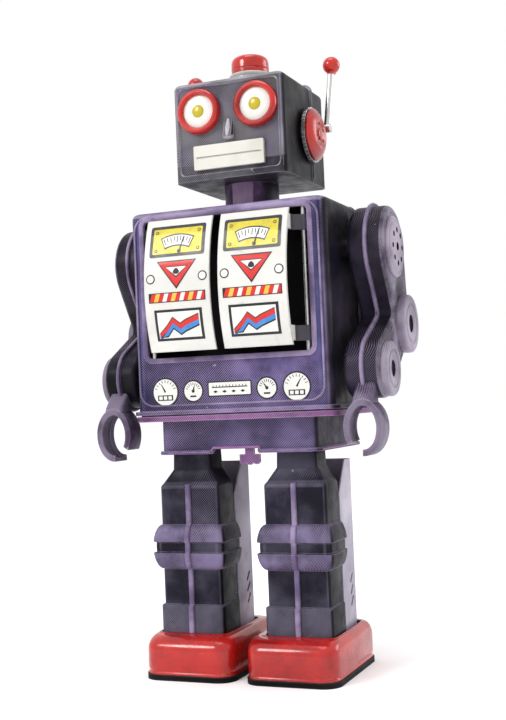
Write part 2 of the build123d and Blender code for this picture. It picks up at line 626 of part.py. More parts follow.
with BuildPart() as sole_plate:
    with BuildSketch():
        with Locations((SHOE_X, shoe_y)):
            RectangleRounded(SHOE_W + 0.8, SHOE_REAR - SHOE_FRONT + 0.8, 6.4)
        with Locations((SHOE_X, ROLLER_Y)):
            Rectangle(12, 11, mode=Mode.SUBTRACT)
    extrude(amount=SOLE)
    # two lugs that carry the roller
    for lug_x in (SHOE_X - 6 - 1.2, SHOE_X + 6):
        with BuildSketch(across(lug_x)):
            with Locations((ROLLER_Y, (SOLE + 7.4) / 2)):
                Rectangle(6, 7.4 - SOLE)
            with Locations((ROLLER_Y, ROLLER_Z)):
                Circle(1.0 + RUNNING, mode=Mode.SUBTRACT)
        extrude(amount=1.2)
write_pair(sole_plate, "sole_plate")

with BuildPart() as roller:
    with BuildSketch(across(SHOE_X - 5)):
        with Locations((ROLLER_Y, ROLLER_Z)):
            Circle(ROLLER_R)
    extrude(amount=10)
    with BuildSketch(across(SHOE_X - 7.6)):
        with Locations((ROLLER_Y, ROLLER_Z)):
            Circle(1.0)
    extrude(amount=15.2)
write_pair(roller, "roller")

# ---------------------------------------------------------------- head
head_box = hollow_box(HEAD_W, HEAD_FRONT, HEAD_REAR, HEAD_LOW, HEAD_HIGH, 3, 2.2)

with BuildPart() as head_skin:
    add(head_box)
    # floor of the head
    with BuildSketch(Plane.XY.offset(HEAD_LOW)):
        with Locations((0, (HEAD_FRONT + HEAD_REAR) / 2)):
            RectangleRounded(HEAD_W, HEAD_REAR - HEAD_FRONT, 3)
        with Locations((0, NECK_Y)):
            Circle(SPIGOT_R, mode=Mode.SUBTRACT)
    extrude(amount=TIN)
    # thicker face so that its middle can be sunk inside a raised border
    with BuildSketch(facing_front(HEAD_FRONT + TIN)):
        with Locations((0, (HEAD_LOW + HEAD_HIGH) / 2)):
            RectangleRounded(HEAD_W - 2 * TIN - 1, HEAD_HIGH - HEAD_LOW - 2 * TIN - 0.6, 2)
    extrude(amount=-FACE_SINK)
    with BuildSketch(facing_front(HEAD_FRONT)):
        with Locations((0, (HEAD_LOW + HEAD_HIGH) / 2 + 0.2)):
            RectangleRounded(HEAD_W - 4.6, HEAD_HIGH - HEAD_LOW - 4.6, 1.4)
    extrude(amount=-FACE_SINK, mode=Mode.SUBTRACT)
    # side holes for the ears
    with BuildSketch(across(-HEAD_W / 2 - 2)):
        with Locations((EAR_Y, EAR_Z)):
            Circle(1.6 + RUNNING)
    extrude(amount=HEAD_W + 4, mode=Mode.SUBTRACT)

FACE_Y = HEAD_FRONT + FACE_SINK
LAMP_Y, LAMP_R, LAMP_BASE_H, LAMP_H = 0.5, 7.4, 6.6, 7.4
with BuildPart() as head_front_shell:
    add(head_skin.part)
    split(bisect_by=facing_front(HEAD_SEAM_Y), keep=Keep.TOP)
    # seam flange round the back edge of the front half
    with BuildSketch(facing_front(HEAD_SEAM_Y)):
        with Locations((0, (HEAD_LOW + HEAD_HIGH + 0.9) / 2)):
            RectangleRounded(HEAD_W + 1.8, HEAD_HIGH - HEAD_LOW + 0.9, 2.8)
        with Locations((0, (HEAD_LOW + HEAD_HIGH) / 2)):
            RectangleRounded(HEAD_W - 1.2, HEAD_HIGH - HEAD_LOW - 1.6, 2, mode=Mode.SUBTRACT)
    extrude(amount=0.9)
    # the flange stops short of the lamp
    with BuildSketch(Plane.XY.offset(HEAD_HIGH)):
        with Locations((0, LAMP_Y)):
            Circle(LAMP_R + 1.9)
    extrude(amount=2, mode=Mode.SUBTRACT)
    # wedge of the nose
    with BuildSketch(across(-1.7)):
        Polygon((FACE_Y, 206.5), (FACE_Y - 2.4, 199.6), (FACE_Y, 198.8), align=None)
    extrude(amount=3.4)
write_piece(head_front_shell, "head_front_shell")

with BuildPart() as head_rear_shell:
    add(head_skin.part)
    split(bisect_by=facing_front(HEAD_SEAM_Y), keep=Keep.BOTTOM)
write_piece(head_rear_shell, "head_rear_shell")

with BuildPart() as mouth_plate:
    with BuildSketch(facing_front(FACE_Y)):
        with Locations((0, 192.9)):
            RectangleRounded(28.4, 9.2, 0.6)
    extrude(amount=1.4)
    with BuildSketch(facing_front(FACE_Y - 1.4)):
        with Locations((0, 192.9)):
            Rectangle(26, 0.5)
    extrude(amount=-0.5, mode=Mode.SUBTRACT)
write_piece(mouth_plate, "mouth_plate")

with BuildPart() as eye_bezels:
    with BuildSketch(facing_front(FACE_Y)):
        with Locations((EYE_X, EYE_Z), (-EYE_X, EYE_Z)):
            Circle(EYE_R)
            Circle(EYE_R - 2.2, mode=Mode.SUBTRACT)
    extrude(amount=3.2)
    chamfer(eye_bezels.faces().sort_by(Axis.Y)[:2].edges().filter_by(GeomType.CIRCLE), 0.7)
write_piece(eye_bezels, "eye_bezels")

with BuildPart() as eye_discs:
    with BuildSketch(facing_front(FACE_Y)):
        with Locations((EYE_X, EYE_Z), (-EYE_X, EYE_Z)):
            Circle(EYE_R - 2.2)
    extrude(amount=1.9)
write_piece(eye_discs, "eye_discs")

with BuildPart() as eye_pupils:
    with BuildSketch(facing_front(FACE_Y - 1.9)):
        with Locations((EYE_X, EYE_Z), (-EYE_X, EYE_Z)):
            Circle(2.4)
    extrude(amount=0.4)
write_piece(eye_pupils, "eye_pupils")

with BuildPart() as lamp_base:
    with BuildSketch(Plane.XZ.offset(-LAMP_Y)):
        with BuildLine():
            Polyline(
                (0, HEAD_HIGH), (LAMP_R + 1.6, HEAD_HIGH), (LAMP_R + 0.9, HEAD_HIGH + LAMP_BASE_H - 1),
                (LAMP_R + 0.4, HEAD_HIGH + LAMP_BASE_H), (0, HEAD_HIGH + LAMP_BASE_H), close=True,
            )
        make_face()
    revolve(axis=Axis((0, LAMP_Y, 0), (0, 0, 1)))
write_piece(lamp_base, "lamp_base")

with BuildPart() as top_lamp:
    with BuildSketch(Plane.XY.offset(HEAD_HIGH + LAMP_BASE_H)):
        with Locations((0, LAMP_Y)):
            Circle(LAMP_R)
    extrude(amount=LAMP_H)
    fillet(top_lamp.faces().sort_by(Axis.Z)[-1].edges(), 2.2)
write_piece(top_lamp, "top_lamp")

# neck: visible collar, spigot through the torso top, retaining flange underneath
with BuildPart() as neck_tube:
    for low, high, outer in (
        (TORSO_HIGH + GAP, HEAD_LOW, NECK_R),
        (TORSO_HIGH - TIN - GAP, HEAD_LOW + 3, SPIGOT_R),
        (TORSO_HIGH - TIN - GAP - 1.2, TORSO_HIGH - TIN - GAP, SPIGOT_R + 1.5),
    ):
        with BuildSketch(Plane.XY.offset(low)):
            with Locations((0, NECK_Y)):
                Circle(outer)
        extrude(amount=high - low)
    with BuildSketch(Plane.XY.offset(TORSO_HIGH - 5)):
        with Locations((0, NECK_Y)):
            Circle(SPIGOT_R - TIN)
    extrude(amount=30, mode=Mode.SUBTRACT)
write_piece(neck_tube, "neck_tube")

# ---------------------------------------------------------------- ears and antennas
EAR_X = HEAD_W / 2 + 0.9 + GAP
ROD_R, BALL_R = 1.2, 3.4
ROD_FOOT, BALL_CENTRE = (EAR_X + 3.2, 11.6, 206.4), (29.4, 13.0, 231.4)

with BuildPart() as ear_dish:
    with BuildSketch(Plane.XY.offset(EAR_Z)):
        with BuildLine():
            Polyline(
                (EAR_X + 1.4, EAR_Y), (EAR_X + 1.4, EAR_Y + EAR_R), (EAR_X + 2.4, EAR_Y + EAR_R),
                (EAR_X + 4.6, EAR_Y + 6.6), (EAR_X + 3.4, EAR_Y + 2.6), (EAR_X + 4.2, EAR_Y),
                close=True,
            )
        make_face()
    revolve(axis=Axis((0, EAR_Y, EAR_Z), (1, 0, 0)))
write_pair(ear_dish, "ear_dish")

# grey knurled disc behind the dish, its stub axle in the head's side, and the rod that it carries
with BuildPart() as antenna_rod:
    with BuildSketch(across(EAR_X)):
        with Locations((EAR_Y, EAR_Z)):
            Circle(EAR_R + 0.6)
            with PolarLocations(EAR_R + 0.7, 36):
                Circle(0.5, mode=Mode.SUBTRACT)
    extrude(amount=1.4)
    with BuildSketch(across(HEAD_W / 2 - 4)):
        with Locations((EAR_Y, EAR_Z)):
            Circle(1.6)
    extrude(amount=EAR_X - HEAD_W / 2 + 4.5)
    # boss on the edge of the disc that holds the foot of the rod
    with BuildSketch(across(EAR_X)):
        with Locations((ROD_FOOT[1], ROD_FOOT[2])):
            Circle(1.7)
    extrude(amount=ROD_FOOT[0] - EAR_X + 1.5)
    reach = Vector(*BALL_CENTRE) - Vector(*ROD_FOOT)
    with BuildSketch(Plane(origin=ROD_FOOT, z_dir=reach)):
        Circle(ROD_R)
    extrude(amount=reach.length - BALL_R + 0.4)
write_pair(antenna_rod, "antenna_rod")

with BuildPart() as antenna_ball:
    with BuildSketch(Plane(origin=BALL_CENTRE, x_dir=(1, 0, 0), z_dir=(0, -1, 0))):
        with BuildLine():
            CenterArc((0, 0), BALL_R, -90, 180)
            Line((0, BALL_R), (0, -BALL_R))
        make_face()
    revolve(axis=Axis(BALL_CENTRE, (0, 0, 1)))
    with BuildSketch(Plane(origin=ROD_FOOT, z_dir=reach)):
        Circle(ROD_R)
    extrude(amount=reach.length - BALL_R + 0.4, mode=Mode.SUBTRACT)
write_pair(antenna_ball, "antenna_ball")

# ---------------------------------------------------------------- arms
arm_inner, arm_outer = arm_half(outward=False), arm_half(outward=True)

with BuildPart() as arm_inner_shell:
    add(arm_inner)
    with BuildSketch(across(ARM_IN - 1)):
        with Locations((SHOULDER_Y, SHOULDER_Z)):
            Circle(2 + RUNNING)
    extrude(amount=3, mode=Mode.SUBTRACT)
write_pair(arm_inner_shell, "arm_inner_shell")

with BuildPart() as arm_outer_shell:
    add(arm_outer)
write_pair(arm_outer_shell, "arm_outer_shell")

# pressed discs on the outside of the arm: perforated at the shoulder, ringed at elbow and wrist
with BuildPart() as shoulder_disc:
    with BuildSketch(across(ARM_OUT)):
        with Locations((SHOULDER_Y, SHOULDER_Z)):
            Circle(11.5)
    extrude(amount=1.6)
    chamfer(shoulder_disc.faces().sort_by(Axis.X)[-1].edges(), 0.6)
    with BuildSketch(across(ARM_OUT + 0.4)):
        with Locations((SHOULDER_Y, SHOULDER_Z)):
            Circle(1.5)
            with PolarLocations(6.6, 8):
                Circle(0.9)
    extrude(amount=3, mode=Mode.SUBTRACT)
write_pair(shoulder_disc, "shoulder_disc")


def ringed_disc(centre_y, centre_z, radius, thickness):
    """A round cover with a pressed ring groove and a hole in the middle."""
    with BuildPart() as cover:
        with BuildSketch(across(ARM_OUT)):
            with Locations((centre_y, centre_z)):
                Circle(radius)
        extrude(amount=thickness)
        chamfer(cover.faces().sort_by(Axis.X)[-1].edges(), 0.7)
        with BuildSketch(across(ARM_OUT + thickness)):
            with Locations((centre_y, centre_z)):
                Circle(radius * 0.72)
                Circle(radius * 0.62, mode=Mode.SUBTRACT)
        extrude(amount=-0.6, mode=Mode.SUBTRACT)
        with BuildSketch(across(ARM_OUT + 0.5)):
            with Locations((centre_y, centre_z)):
                Circle(radius * 0.26)
        extrude(amount=thickness, mode=Mode.SUBTRACT)
    return cover.part


elbow_cover = ringed_disc(ELBOW_Y, ELBOW_Z, 11.0, 3.0)
with BuildPart() as elbow_disc:
    add(elbow_cover)
write_pair(elbow_disc, "elbow_disc")

wrist_cover = ringed_disc(WRIST_Y + 0.8, WRIST_Z - 0.5, 10.0, 2.2)
with BuildPart() as wrist_disc:
    add(wrist_cover)
write_pair(wrist_disc, "wrist_disc")

# hand: a C-shaped claw of strip with turned edges, open at its lower inner side
with BuildPart() as hand:
    for front, back, strip in (
        (HAND_FRONT, HAND_BACK, 1.3),
        (HAND_FRONT, HAND_FRONT + 1.2, 2.4),
        (HAND_BACK - 1.2, HAND_BACK, 2.4),
    ):
        with BuildSketch(facing_front(back)):
            with Locations((HAND_X, HAND_Z)):
                Ellipse(HAND_HALF_W, HAND_HALF_H)
                Ellipse(HAND_HALF_W - strip, HAND_HALF_H - strip, mode=Mode.SUBTRACT)
                Polygon((0, 0), (-3.5, -14), (-10, -6.5), align=None, mode=Mode.SUBTRACT)
        extrude(amount=back - front)
    # knuckle that joins the claw to the forearm
    with BuildSketch(across(ARM_SEAM - 3.6)):
        Polygon(
            (WRIST_Y - 12.0, WRIST_Z - 3.0), (HAND_FRONT + 0.6, HAND_Z + HAND_HALF_H - 0.4),
            (HAND_BACK - 0.6, HAND_Z + HAND_HALF_H - 0.4), (WRIST_Y - 2.0, WRIST_Z - 11.6), align=None,
        )
        with Locations((WRIST_Y, WRIST_Z)):
            Circle(WRIST_R + 1.3, mode=Mode.SUBTRACT)
    extrude(amount=7.2)
write_pair(hand, "hand")
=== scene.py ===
import json
import math

import bmesh
import bpy
from mathutils import Matrix, Vector


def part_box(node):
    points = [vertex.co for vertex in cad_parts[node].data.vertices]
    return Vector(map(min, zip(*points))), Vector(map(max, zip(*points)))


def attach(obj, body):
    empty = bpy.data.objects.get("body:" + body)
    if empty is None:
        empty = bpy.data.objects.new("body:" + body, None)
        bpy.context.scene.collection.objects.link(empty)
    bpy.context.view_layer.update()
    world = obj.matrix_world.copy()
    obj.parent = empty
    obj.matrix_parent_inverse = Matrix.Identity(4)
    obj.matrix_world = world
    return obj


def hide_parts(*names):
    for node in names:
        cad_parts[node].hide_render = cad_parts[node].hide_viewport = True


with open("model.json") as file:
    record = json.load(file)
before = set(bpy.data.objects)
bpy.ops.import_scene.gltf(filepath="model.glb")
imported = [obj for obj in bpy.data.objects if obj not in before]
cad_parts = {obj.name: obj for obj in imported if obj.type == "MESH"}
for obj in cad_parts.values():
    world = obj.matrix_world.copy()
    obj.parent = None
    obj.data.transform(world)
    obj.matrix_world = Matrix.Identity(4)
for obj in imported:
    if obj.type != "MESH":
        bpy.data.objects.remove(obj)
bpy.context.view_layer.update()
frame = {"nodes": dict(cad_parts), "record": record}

# Everything is in metres in the CAD frame: +Z up, the robot faces -Y, its own left is +X.
# The shape helpers take millimetres and scale by MM when they make the mesh.
MM = 0.001


# ---------------------------------------------------------------- material nodes
class Paint:
    """Adds nodes to one new material and wires them together."""

    def __init__(self, name):
        self.material = bpy.data.materials.new(name)
        self.material.use_nodes = True
        self.tree = self.material.node_tree
        self.shader = self.tree.nodes["Principled BSDF"]
        self.place = self.node("ShaderNodeTexCoord").outputs["Object"]

    def node(self, kind, inputs=None, **settings):
        made = self.tree.nodes.new(kind)
        for key, value in settings.items():
            setattr(made, key, value)
        for key, source in (inputs or {}).items():
            self.wire(source, made.inputs[key])
        return made

    def wire(self, source, socket):
        if hasattr(source, "links"):
            self.tree.links.new(source, socket)
        elif isinstance(source, (tuple, list)) and len(source) == 3 and socket.type == "RGBA":
            socket.default_value = (*source, 1)
        else:
            socket.default_value = source

    def set(self, socket, source):
        self.wire(source, self.shader.inputs[socket])

    def stretch(self, scale, turn=(0, 0, 0)):
        mapping = self.node("ShaderNodeMapping", {"Vector": self.place})
        mapping.inputs["Scale"].default_value = scale
        mapping.inputs["Rotation"].default_value = turn
        return mapping.outputs["Vector"]

    def noise(self, scale, detail=4.0, rough=0.55, where=None):
        return self.node("ShaderNodeTexNoise", {"Vector": where or self.place, "Scale": scale,
                                                "Detail": detail, "Roughness": rough}).outputs["Fac"]

    def strokes(self, pitch, flip=(1.0, 1.0, 1.0)):
        """Fine slanted lines, one every pitch metres, slightly wavering; flip turns them the other way."""
        return self.node("ShaderNodeTexWave", {"Vector": self.stretch(flip), "Scale": math.tau / (10 * pitch),
                                               "Distortion": 1.6, "Detail": 2.0, "Detail Scale": 0.6},
                         wave_type="BANDS", bands_direction="DIAGONAL").outputs["Fac"]

    def spread(self, value, low, high, to_low=0.0, to_high=1.0):
        """Smooth step of a value from one range to another."""
        return self.node("ShaderNodeMapRange", {"Value": value, "From Min": low, "From Max": high,
                                                "To Min": to_low, "To Max": to_high},
                         interpolation_type="SMOOTHSTEP").outputs["Result"]

    def math(self, operation, first, second=0.0):
        return self.node("ShaderNodeMath", {0: first, 1: second}, operation=operation,
                         use_clamp=operation != "SUBTRACT").outputs[0]

    def times(self, first, second):
        return self.math("MULTIPLY", first, second)

    def mix(self, amount, under, over):
        return self.node("ShaderNodeMix", {"Factor": amount, 6: under, 7: over}, data_type="RGBA").outputs[2]

    def axis(self, source, name):
        return self.node("ShaderNodeSeparateXYZ", {0: source}).outputs[name]

    def facing(self, name):
        """Absolute part of the surface normal along one axis of the object."""
        return self.math("ABSOLUTE", self.axis(self.node("ShaderNodeTexCoord").outputs["Normal"], name))

    def rounded(self, radius):
        """Normal of the surface as if its sharp edges were rounded off."""
        return self.node("ShaderNodeBevel", {"Radius": radius}, samples=6).outputs[0]

    def edges(self, radius):
        """1 on sharp edges, 0 on flat faces: how far a rounded normal leaves the true one."""
        true = self.node("ShaderNodeNewGeometry").outputs["Normal"]
        dot = self.node("ShaderNodeVectorMath", {0: self.rounded(radius), 1: true}, operation="DOT_PRODUCT")
        return self.spread(dot.outputs["Value"], 0.985, 0.80, 0.0, 1.0)

    def bump(self, height, strength, depth, edge_radius):
        made = self.node("ShaderNodeBump", {"Strength": strength, "Distance": depth, "Height": height,
                                            "Normal": self.rounded(edge_radius)})
        self.set("Normal", made.outputs["Normal"])


def tin(name, base, cloud, edge, rough=0.40, edge_wear_and_highlight=0.75, side=None, bands=(), coat=0.03,
        hatching=0.7, hinge=None):
    """Lithographed tinplate: clouded ink, fine hatched lines, rubbed edges that are partly wear and partly
    painted highlight, small chips and grime. A side colour paints shade on the faces turned to ±X.

    Each band is (axis, low, high, tint): a stripe of another tint between two heights or widths. On the legs
    the bands are print; the lighter bands on the body, head and neck are painted highlights.
    """
    p = Paint(name)
    clouds = p.spread(p.noise(42, 5, 0.6), 0.40, 0.62)
    colour = p.mix(clouds, base, cloud)
    for direction, low, high, tint in bands:
        where = p.axis(p.place, direction)
        if direction == "X":
            where = p.math("ABSOLUTE", where)
        inside = p.times(p.spread(where, (low - 0.3) * MM, (low + 0.3) * MM),
                         p.spread(where, (high + 0.3) * MM, (high - 0.3) * MM))
        uneven = p.spread(p.noise(120, 4, 0.6), 0.30, 0.60, 0.45, 1.0)
        colour = p.mix(p.times(inside, uneven), colour, tint)
    hatch, cross = p.strokes(0.0011), p.strokes(0.0009, (-1.0, -1.0, 1.0))
    shaded = p.spread(p.noise(45, 3, 0.6), 0.66, 0.34)
    lines = p.times(p.math("ADD", p.spread(hatch, 0.45, 0.12), p.spread(cross, 0.40, 0.10)), shaded)
    colour = p.mix(p.times(lines, hatching), colour, [c * 0.15 for c in base])
    slanted = p.stretch((1.0, 1.0, 1.0), (1.0, 0.4, 0.2))
    lit = p.times(p.spread(p.noise(26, 3, 0.6, slanted), 0.42, 0.64), p.spread(cross, 0.62, 0.92))
    colour = p.mix(p.times(lit, hatching * 0.6), colour, edge)
    # Painted shade: faces turned towards ±X are darkened to the side colour, keeping a little of the light
    # hatching.
    if side:
        side_shade = p.spread(p.facing("X"), 0.55, 0.85, 0.0, 0.95)
        colour = p.mix(side_shade, colour, p.mix(p.times(lit, 0.25), side, edge))
    grime = p.spread(p.noise(75, 6, 0.7), 0.58, 0.76, 0.0, 0.5)
    colour = p.mix(grime, colour, [c * 0.25 for c in base])
    # Rubbed edges: the edge colour on sharp edges is partly wear and partly painted highlight.
    ragged = p.spread(p.noise(420, 5, 0.7), 0.30, 0.60, 0.35, 1.0)
    rubbed = p.times(p.times(p.edges(0.0008), ragged), edge_wear_and_highlight)
    colour = p.mix(rubbed, colour, edge)
    chips = p.spread(p.noise(260, 3, 0.5), 0.735, 0.76, 0.0, 0.7)
    colour = p.mix(chips, colour, edge)
    if hinge:
        behind = p.spread(p.axis(p.place, "Y"), -37.1 * MM, -36.9 * MM)
        colour = p.mix(behind, colour, hinge)
    p.set("Base Color", colour)
    p.set("Roughness", p.spread(p.noise(150, 5, 0.7), 0.3, 0.75, rough - 0.09, rough + 0.16))
    p.set("Specular IOR Level", 0.14)
    p.set("Coat Weight", coat)
    p.set("Coat Roughness", 0.2)
    dents = p.math("ADD", p.times(p.noise(55, 3, 0.5), 0.7), p.times(lines, 0.06))
    p.bump(dents, 0.30, 0.0005, 0.0005)
    return p.material


def enamel(name, base, deep, edge, rough=0.20, coat=0.5, wear=0.6):
    """Glossy sprayed enamel or moulded plastic, with soft mottling, rubbed edges and fine scratches."""
    p = Paint(name)
    colour = p.mix(p.spread(p.noise(60, 4, 0.6), 0.36, 0.7), base, deep)
    streaks = p.noise(500, 3, 0.6, p.stretch((0.08, 1.0, 1.0), (0.2, 0.3, 0.5)))
    colour = p.mix(p.spread(streaks, 0.60, 0.72, 0.0, 0.30), colour, deep)
    ragged = p.spread(p.noise(380, 5, 0.7), 0.38, 0.62)
    colour = p.mix(p.times(p.times(p.edges(0.0006), ragged), wear), colour, edge)
    p.set("Base Color", colour)
    p.set("Roughness", p.spread(p.noise(130, 5, 0.7), 0.35, 0.75, rough - 0.05, rough + 0.16))
    p.set("Coat Weight", coat)
    p.set("Coat Roughness", 0.08)
    p.bump(p.math("ADD", p.noise(45, 2, 0.5), p.times(streaks, 0.05)), 0.16, 0.0006, 0.0004)
    return p.material


def metal(name, base, dark, rough=0.32, brush=(1.0, 1.0, 0.05)):
    """Brushed or plated metal with tarnish in patches."""
    p = Paint(name)
    grain = p.noise(700, 3, 0.6, p.stretch(brush))
    tarnish = p.spread(p.noise(90, 6, 0.7), 0.45, 0.75)
    colour = p.mix(tarnish, base, dark)
    colour = p.mix(p.spread(grain, 0.4, 0.7, 0.0, 0.25), colour, dark)
    p.set("Base Color", colour)
    p.set("Metallic", 1.0)
    p.set("Roughness", p.spread(p.noise(200, 4, 0.6), 0.3, 0.7, rough - 0.08, rough + 0.18))
    p.bump(grain, 0.12, 0.0002, 0.0003)
    return p.material


def ink(name, base, fade, rough=0.38):
    """Printed ink: slightly uneven cover and a faint dot screen."""
    p = Paint(name)
    colour = p.mix(p.spread(p.noise(260, 5, 0.7), 0.42, 0.70, 0.0, 0.6), base, fade)
    p.set("Base Color", colour)
    p.set("Roughness", p.spread(p.noise(220, 4, 0.6), 0.3, 0.7, rough - 0.06, rough + 0.12))
    p.set("Coat Weight", 0.25)
    p.bump(p.noise(600, 3, 0.6), 0.08, 0.0001, 0.0001)
    return p.material


LILAC = (0.46, 0.36, 0.56)
NEAR_BLACK = (0.004, 0.0035, 0.006)
DARK_SLATE = (0.016, 0.014, 0.028)
KNEE_TINT, CUFF_TINT = (0.22, 0.18, 0.30), (0.11, 0.10, 0.14)

# Painted highlights: the body's lighter bands run along the front corners, the border beside the window, the
# top edge and the foot. The side colour on body, back, skirt, head, neck and legs is painted shade on the
# faces turned to ±X.
BODY = tin("body_tin", (0.052, 0.043, 0.115), (0.155, 0.120, 0.270), LILAC, side=NEAR_BLACK, hatching=1.0,
           bands=(("X", 34.4, 36.2, (0.11, 0.11, 0.26)), ("X", 37.2, 38.6, (0.34, 0.27, 0.42)),
                  ("Z", 171.2, 172.6, (0.36, 0.30, 0.44)), ("Z", 97.0, 98.6, (0.26, 0.20, 0.34))))
BACK = tin("back_tin", (0.034, 0.028, 0.075), (0.065, 0.050, 0.125), LILAC, side=NEAR_BLACK)
BASE = tin("base_tin", (0.30, 0.12, 0.30), (0.16, 0.07, 0.18), (0.62, 0.48, 0.66))
SKIRT = tin("skirt_tin", (0.055, 0.047, 0.115), (0.120, 0.100, 0.200), LILAC, side=(0.010, 0.007, 0.016),
            hatching=1.0)
TRAY = tin("tray_black", (0.005, 0.005, 0.006), (0.009, 0.009, 0.012), (0.08, 0.07, 0.10), rough=0.6,
           coat=0.0)
# Painted highlights: the head's lighter bands run along its front corners and top edge; the darker band lies
# across the foot of the face.
HEAD = tin("head_tin", (0.170, 0.166, 0.178), (0.185, 0.160, 0.245), (0.46, 0.45, 0.48), side=NEAR_BLACK,
           hatching=1.0,
           bands=(("X", 21.0, 22.2, (0.36, 0.33, 0.42)), ("Z", 220.6, 221.8, (0.42, 0.41, 0.44)),
                  ("Z", 184.0, 190.5, (0.030, 0.026, 0.040))))
# Painted highlight: the neck's pink band across the middle of its front.
NECK = tin("neck_tin", (0.060, 0.038, 0.080), (0.42, 0.24, 0.48), (0.46, 0.30, 0.50), side=NEAR_BLACK,
           bands=(("X", 0.0, 4.2, (0.54, 0.38, 0.56)),))
DOOR = tin("door_tin", (0.72, 0.71, 0.68), (0.66, 0.65, 0.62), (0.26, 0.24, 0.26), rough=0.42,
           edge_wear_and_highlight=0.5, hatching=0.04, hinge=(0.10, 0.095, 0.11))
LEG = tin("leg_tin", DARK_SLATE, (0.068, 0.062, 0.092), (0.30, 0.26, 0.36), side=NEAR_BLACK,
          bands=(("X", 9.0, 10.0, CUFF_TINT), ("X", 32.0, 33.0, CUFF_TINT), ("Z", 69.2, 71.6, CUFF_TINT),
                 ("Z", 9.0, 26.2, CUFF_TINT), ("Z", 39.2, 45.4, KNEE_TINT), ("Z", 49.6, 55.8, KNEE_TINT)))
LEG_REAR = tin("leg_rear_tin", (0.40, 0.37, 0.46), (0.52, 0.49, 0.56), (0.60, 0.56, 0.62), hatching=0.30)
# Painted shade: near black put on the floors of pits and holes and in the gap inside the shoe collars.
RECESS_SHADE = tin("recess_shade_tin", NEAR_BLACK, DARK_SLATE, (0.20, 0.18, 0.24))
TRIM = tin("trim_tin", (0.15, 0.115, 0.21), (0.36, 0.29, 0.44), (0.52, 0.44, 0.58), hatching=0.25)
GREY_TRIM = tin("grey_trim_tin", (0.54, 0.53, 0.55), (0.40, 0.37, 0.46), (0.60, 0.58, 0.60), hatching=0.25)
PINK_TRIM = tin("pink_trim_tin", (0.36, 0.16, 0.38), (0.24, 0.11, 0.28), (0.64, 0.48, 0.66), hatching=0.2)
ARM = tin("arm_tin", (0.042, 0.035, 0.056), (0.30, 0.26, 0.34), (0.48, 0.42, 0.52), hatching=0.6)
ARM_DARK = tin("arm_dark", (0.007, 0.006, 0.010), (0.034, 0.026, 0.050), (0.30, 0.25, 0.36))
ARM_DISC = tin("arm_disc", (0.25, 0.215, 0.28), (0.38, 0.335, 0.42), (0.58, 0.52, 0.60), hatching=0.35)
HAND = tin("hand_tin", (0.24, 0.20, 0.28), (0.060, 0.038, 0.085), (0.60, 0.52, 0.64), hatching=0.4)
SHOE = enamel("shoe_red", (0.52, 0.020, 0.014), (0.30, 0.008, 0.008), (0.80, 0.36, 0.30))
RED = enamel("red_plastic", (0.52, 0.020, 0.012), (0.30, 0.008, 0.008), (0.84, 0.40, 0.34))
WHITE = enamel("eye_white", (0.74, 0.73, 0.69), (0.66, 0.65, 0.62), (0.50, 0.49, 0.48), rough=0.3, wear=0.3)
CREAM = enamel("mouth_cream", (0.66, 0.645, 0.59), (0.57, 0.555, 0.50), (0.40, 0.39, 0.37), rough=0.36,
               wear=0.4)
YELLOW = enamel("pupil_yellow", (0.50, 0.41, 0.012), (0.38, 0.29, 0.008), (0.70, 0.62, 0.20), rough=0.3)
LAMP_FOOT = enamel("lamp_foot", (0.50, 0.49, 0.47), (0.36, 0.35, 0.35), (0.70, 0.69, 0.67), rough=0.35)
SOLE = tin("sole_black", (0.007, 0.007, 0.008), (0.014, 0.014, 0.016), (0.10, 0.09, 0.10), rough=0.55,
           coat=0.0)
STEEL = metal("bright_steel", (0.66, 0.65, 0.63), (0.30, 0.29, 0.30))
MOTOR = metal("motor_steel", (0.55, 0.54, 0.53), (0.25, 0.24, 0.25), 0.4)
SPRING = metal("spring_steel", (0.10, 0.12, 0.20), (0.04, 0.04, 0.06), 0.28)
BRASS = metal("wheel_brass", (0.78, 0.56, 0.22), (0.42, 0.27, 0.09), 0.3)
RUBBER = enamel("roller_rubber", (0.020, 0.020, 0.020), (0.035, 0.034, 0.033), (0.08, 0.08, 0.08), 0.7, 0.0)
INKS = {
    "black": ink("ink_black", (0.008, 0.008, 0.011), (0.025, 0.023, 0.034)),
    "white": ink("ink_white", (0.73, 0.72, 0.69), (0.67, 0.66, 0.63)),
    "yellow": ink("ink_yellow", (0.60, 0.51, 0.022), (0.44, 0.36, 0.016)),
    "red": ink("ink_red", (0.62, 0.025, 0.020), (0.46, 0.016, 0.016)),
    "orange": ink("ink_orange", (0.86, 0.46, 0.05), (0.82, 0.60, 0.22)),
    "blue": ink("ink_blue", (0.045, 0.22, 0.56), (0.10, 0.33, 0.64)),
}

by_slot = {
    "body_tin": BODY, "base_tin": BASE, "tray_black": TRAY, "head_tin": HEAD, "door_tin": DOOR,
    "leg_tin": LEG, "arm_tin": ARM, "shoe_red": SHOE, "sole_black": SOLE, "roller_rubber": RUBBER,
    "red_plastic": RED,
    "eye_white": WHITE, "pupil_yellow": YELLOW, "bright_steel": STEEL, "motor_steel": MOTOR,
    "spring_steel": SPRING, "wheel_brass": BRASS,
}
own_material = {"torso_rear_shell": BACK, "neck_tube": NECK, "skirt": SKIRT, "mouth_plate": CREAM}
for side in ("left", "right"):
    own_material[f"leg_rear_shell_{side}"] = LEG_REAR

# ---------------------------------------------------------------- carried-over CAD nodes
for part in frame["record"]["subparts"]:
    node = frame["nodes"][part["node"]]
    node.data.materials.clear()
    node.data.materials.append(own_material.get(part["node"], by_slot[part["material_slot"]]))


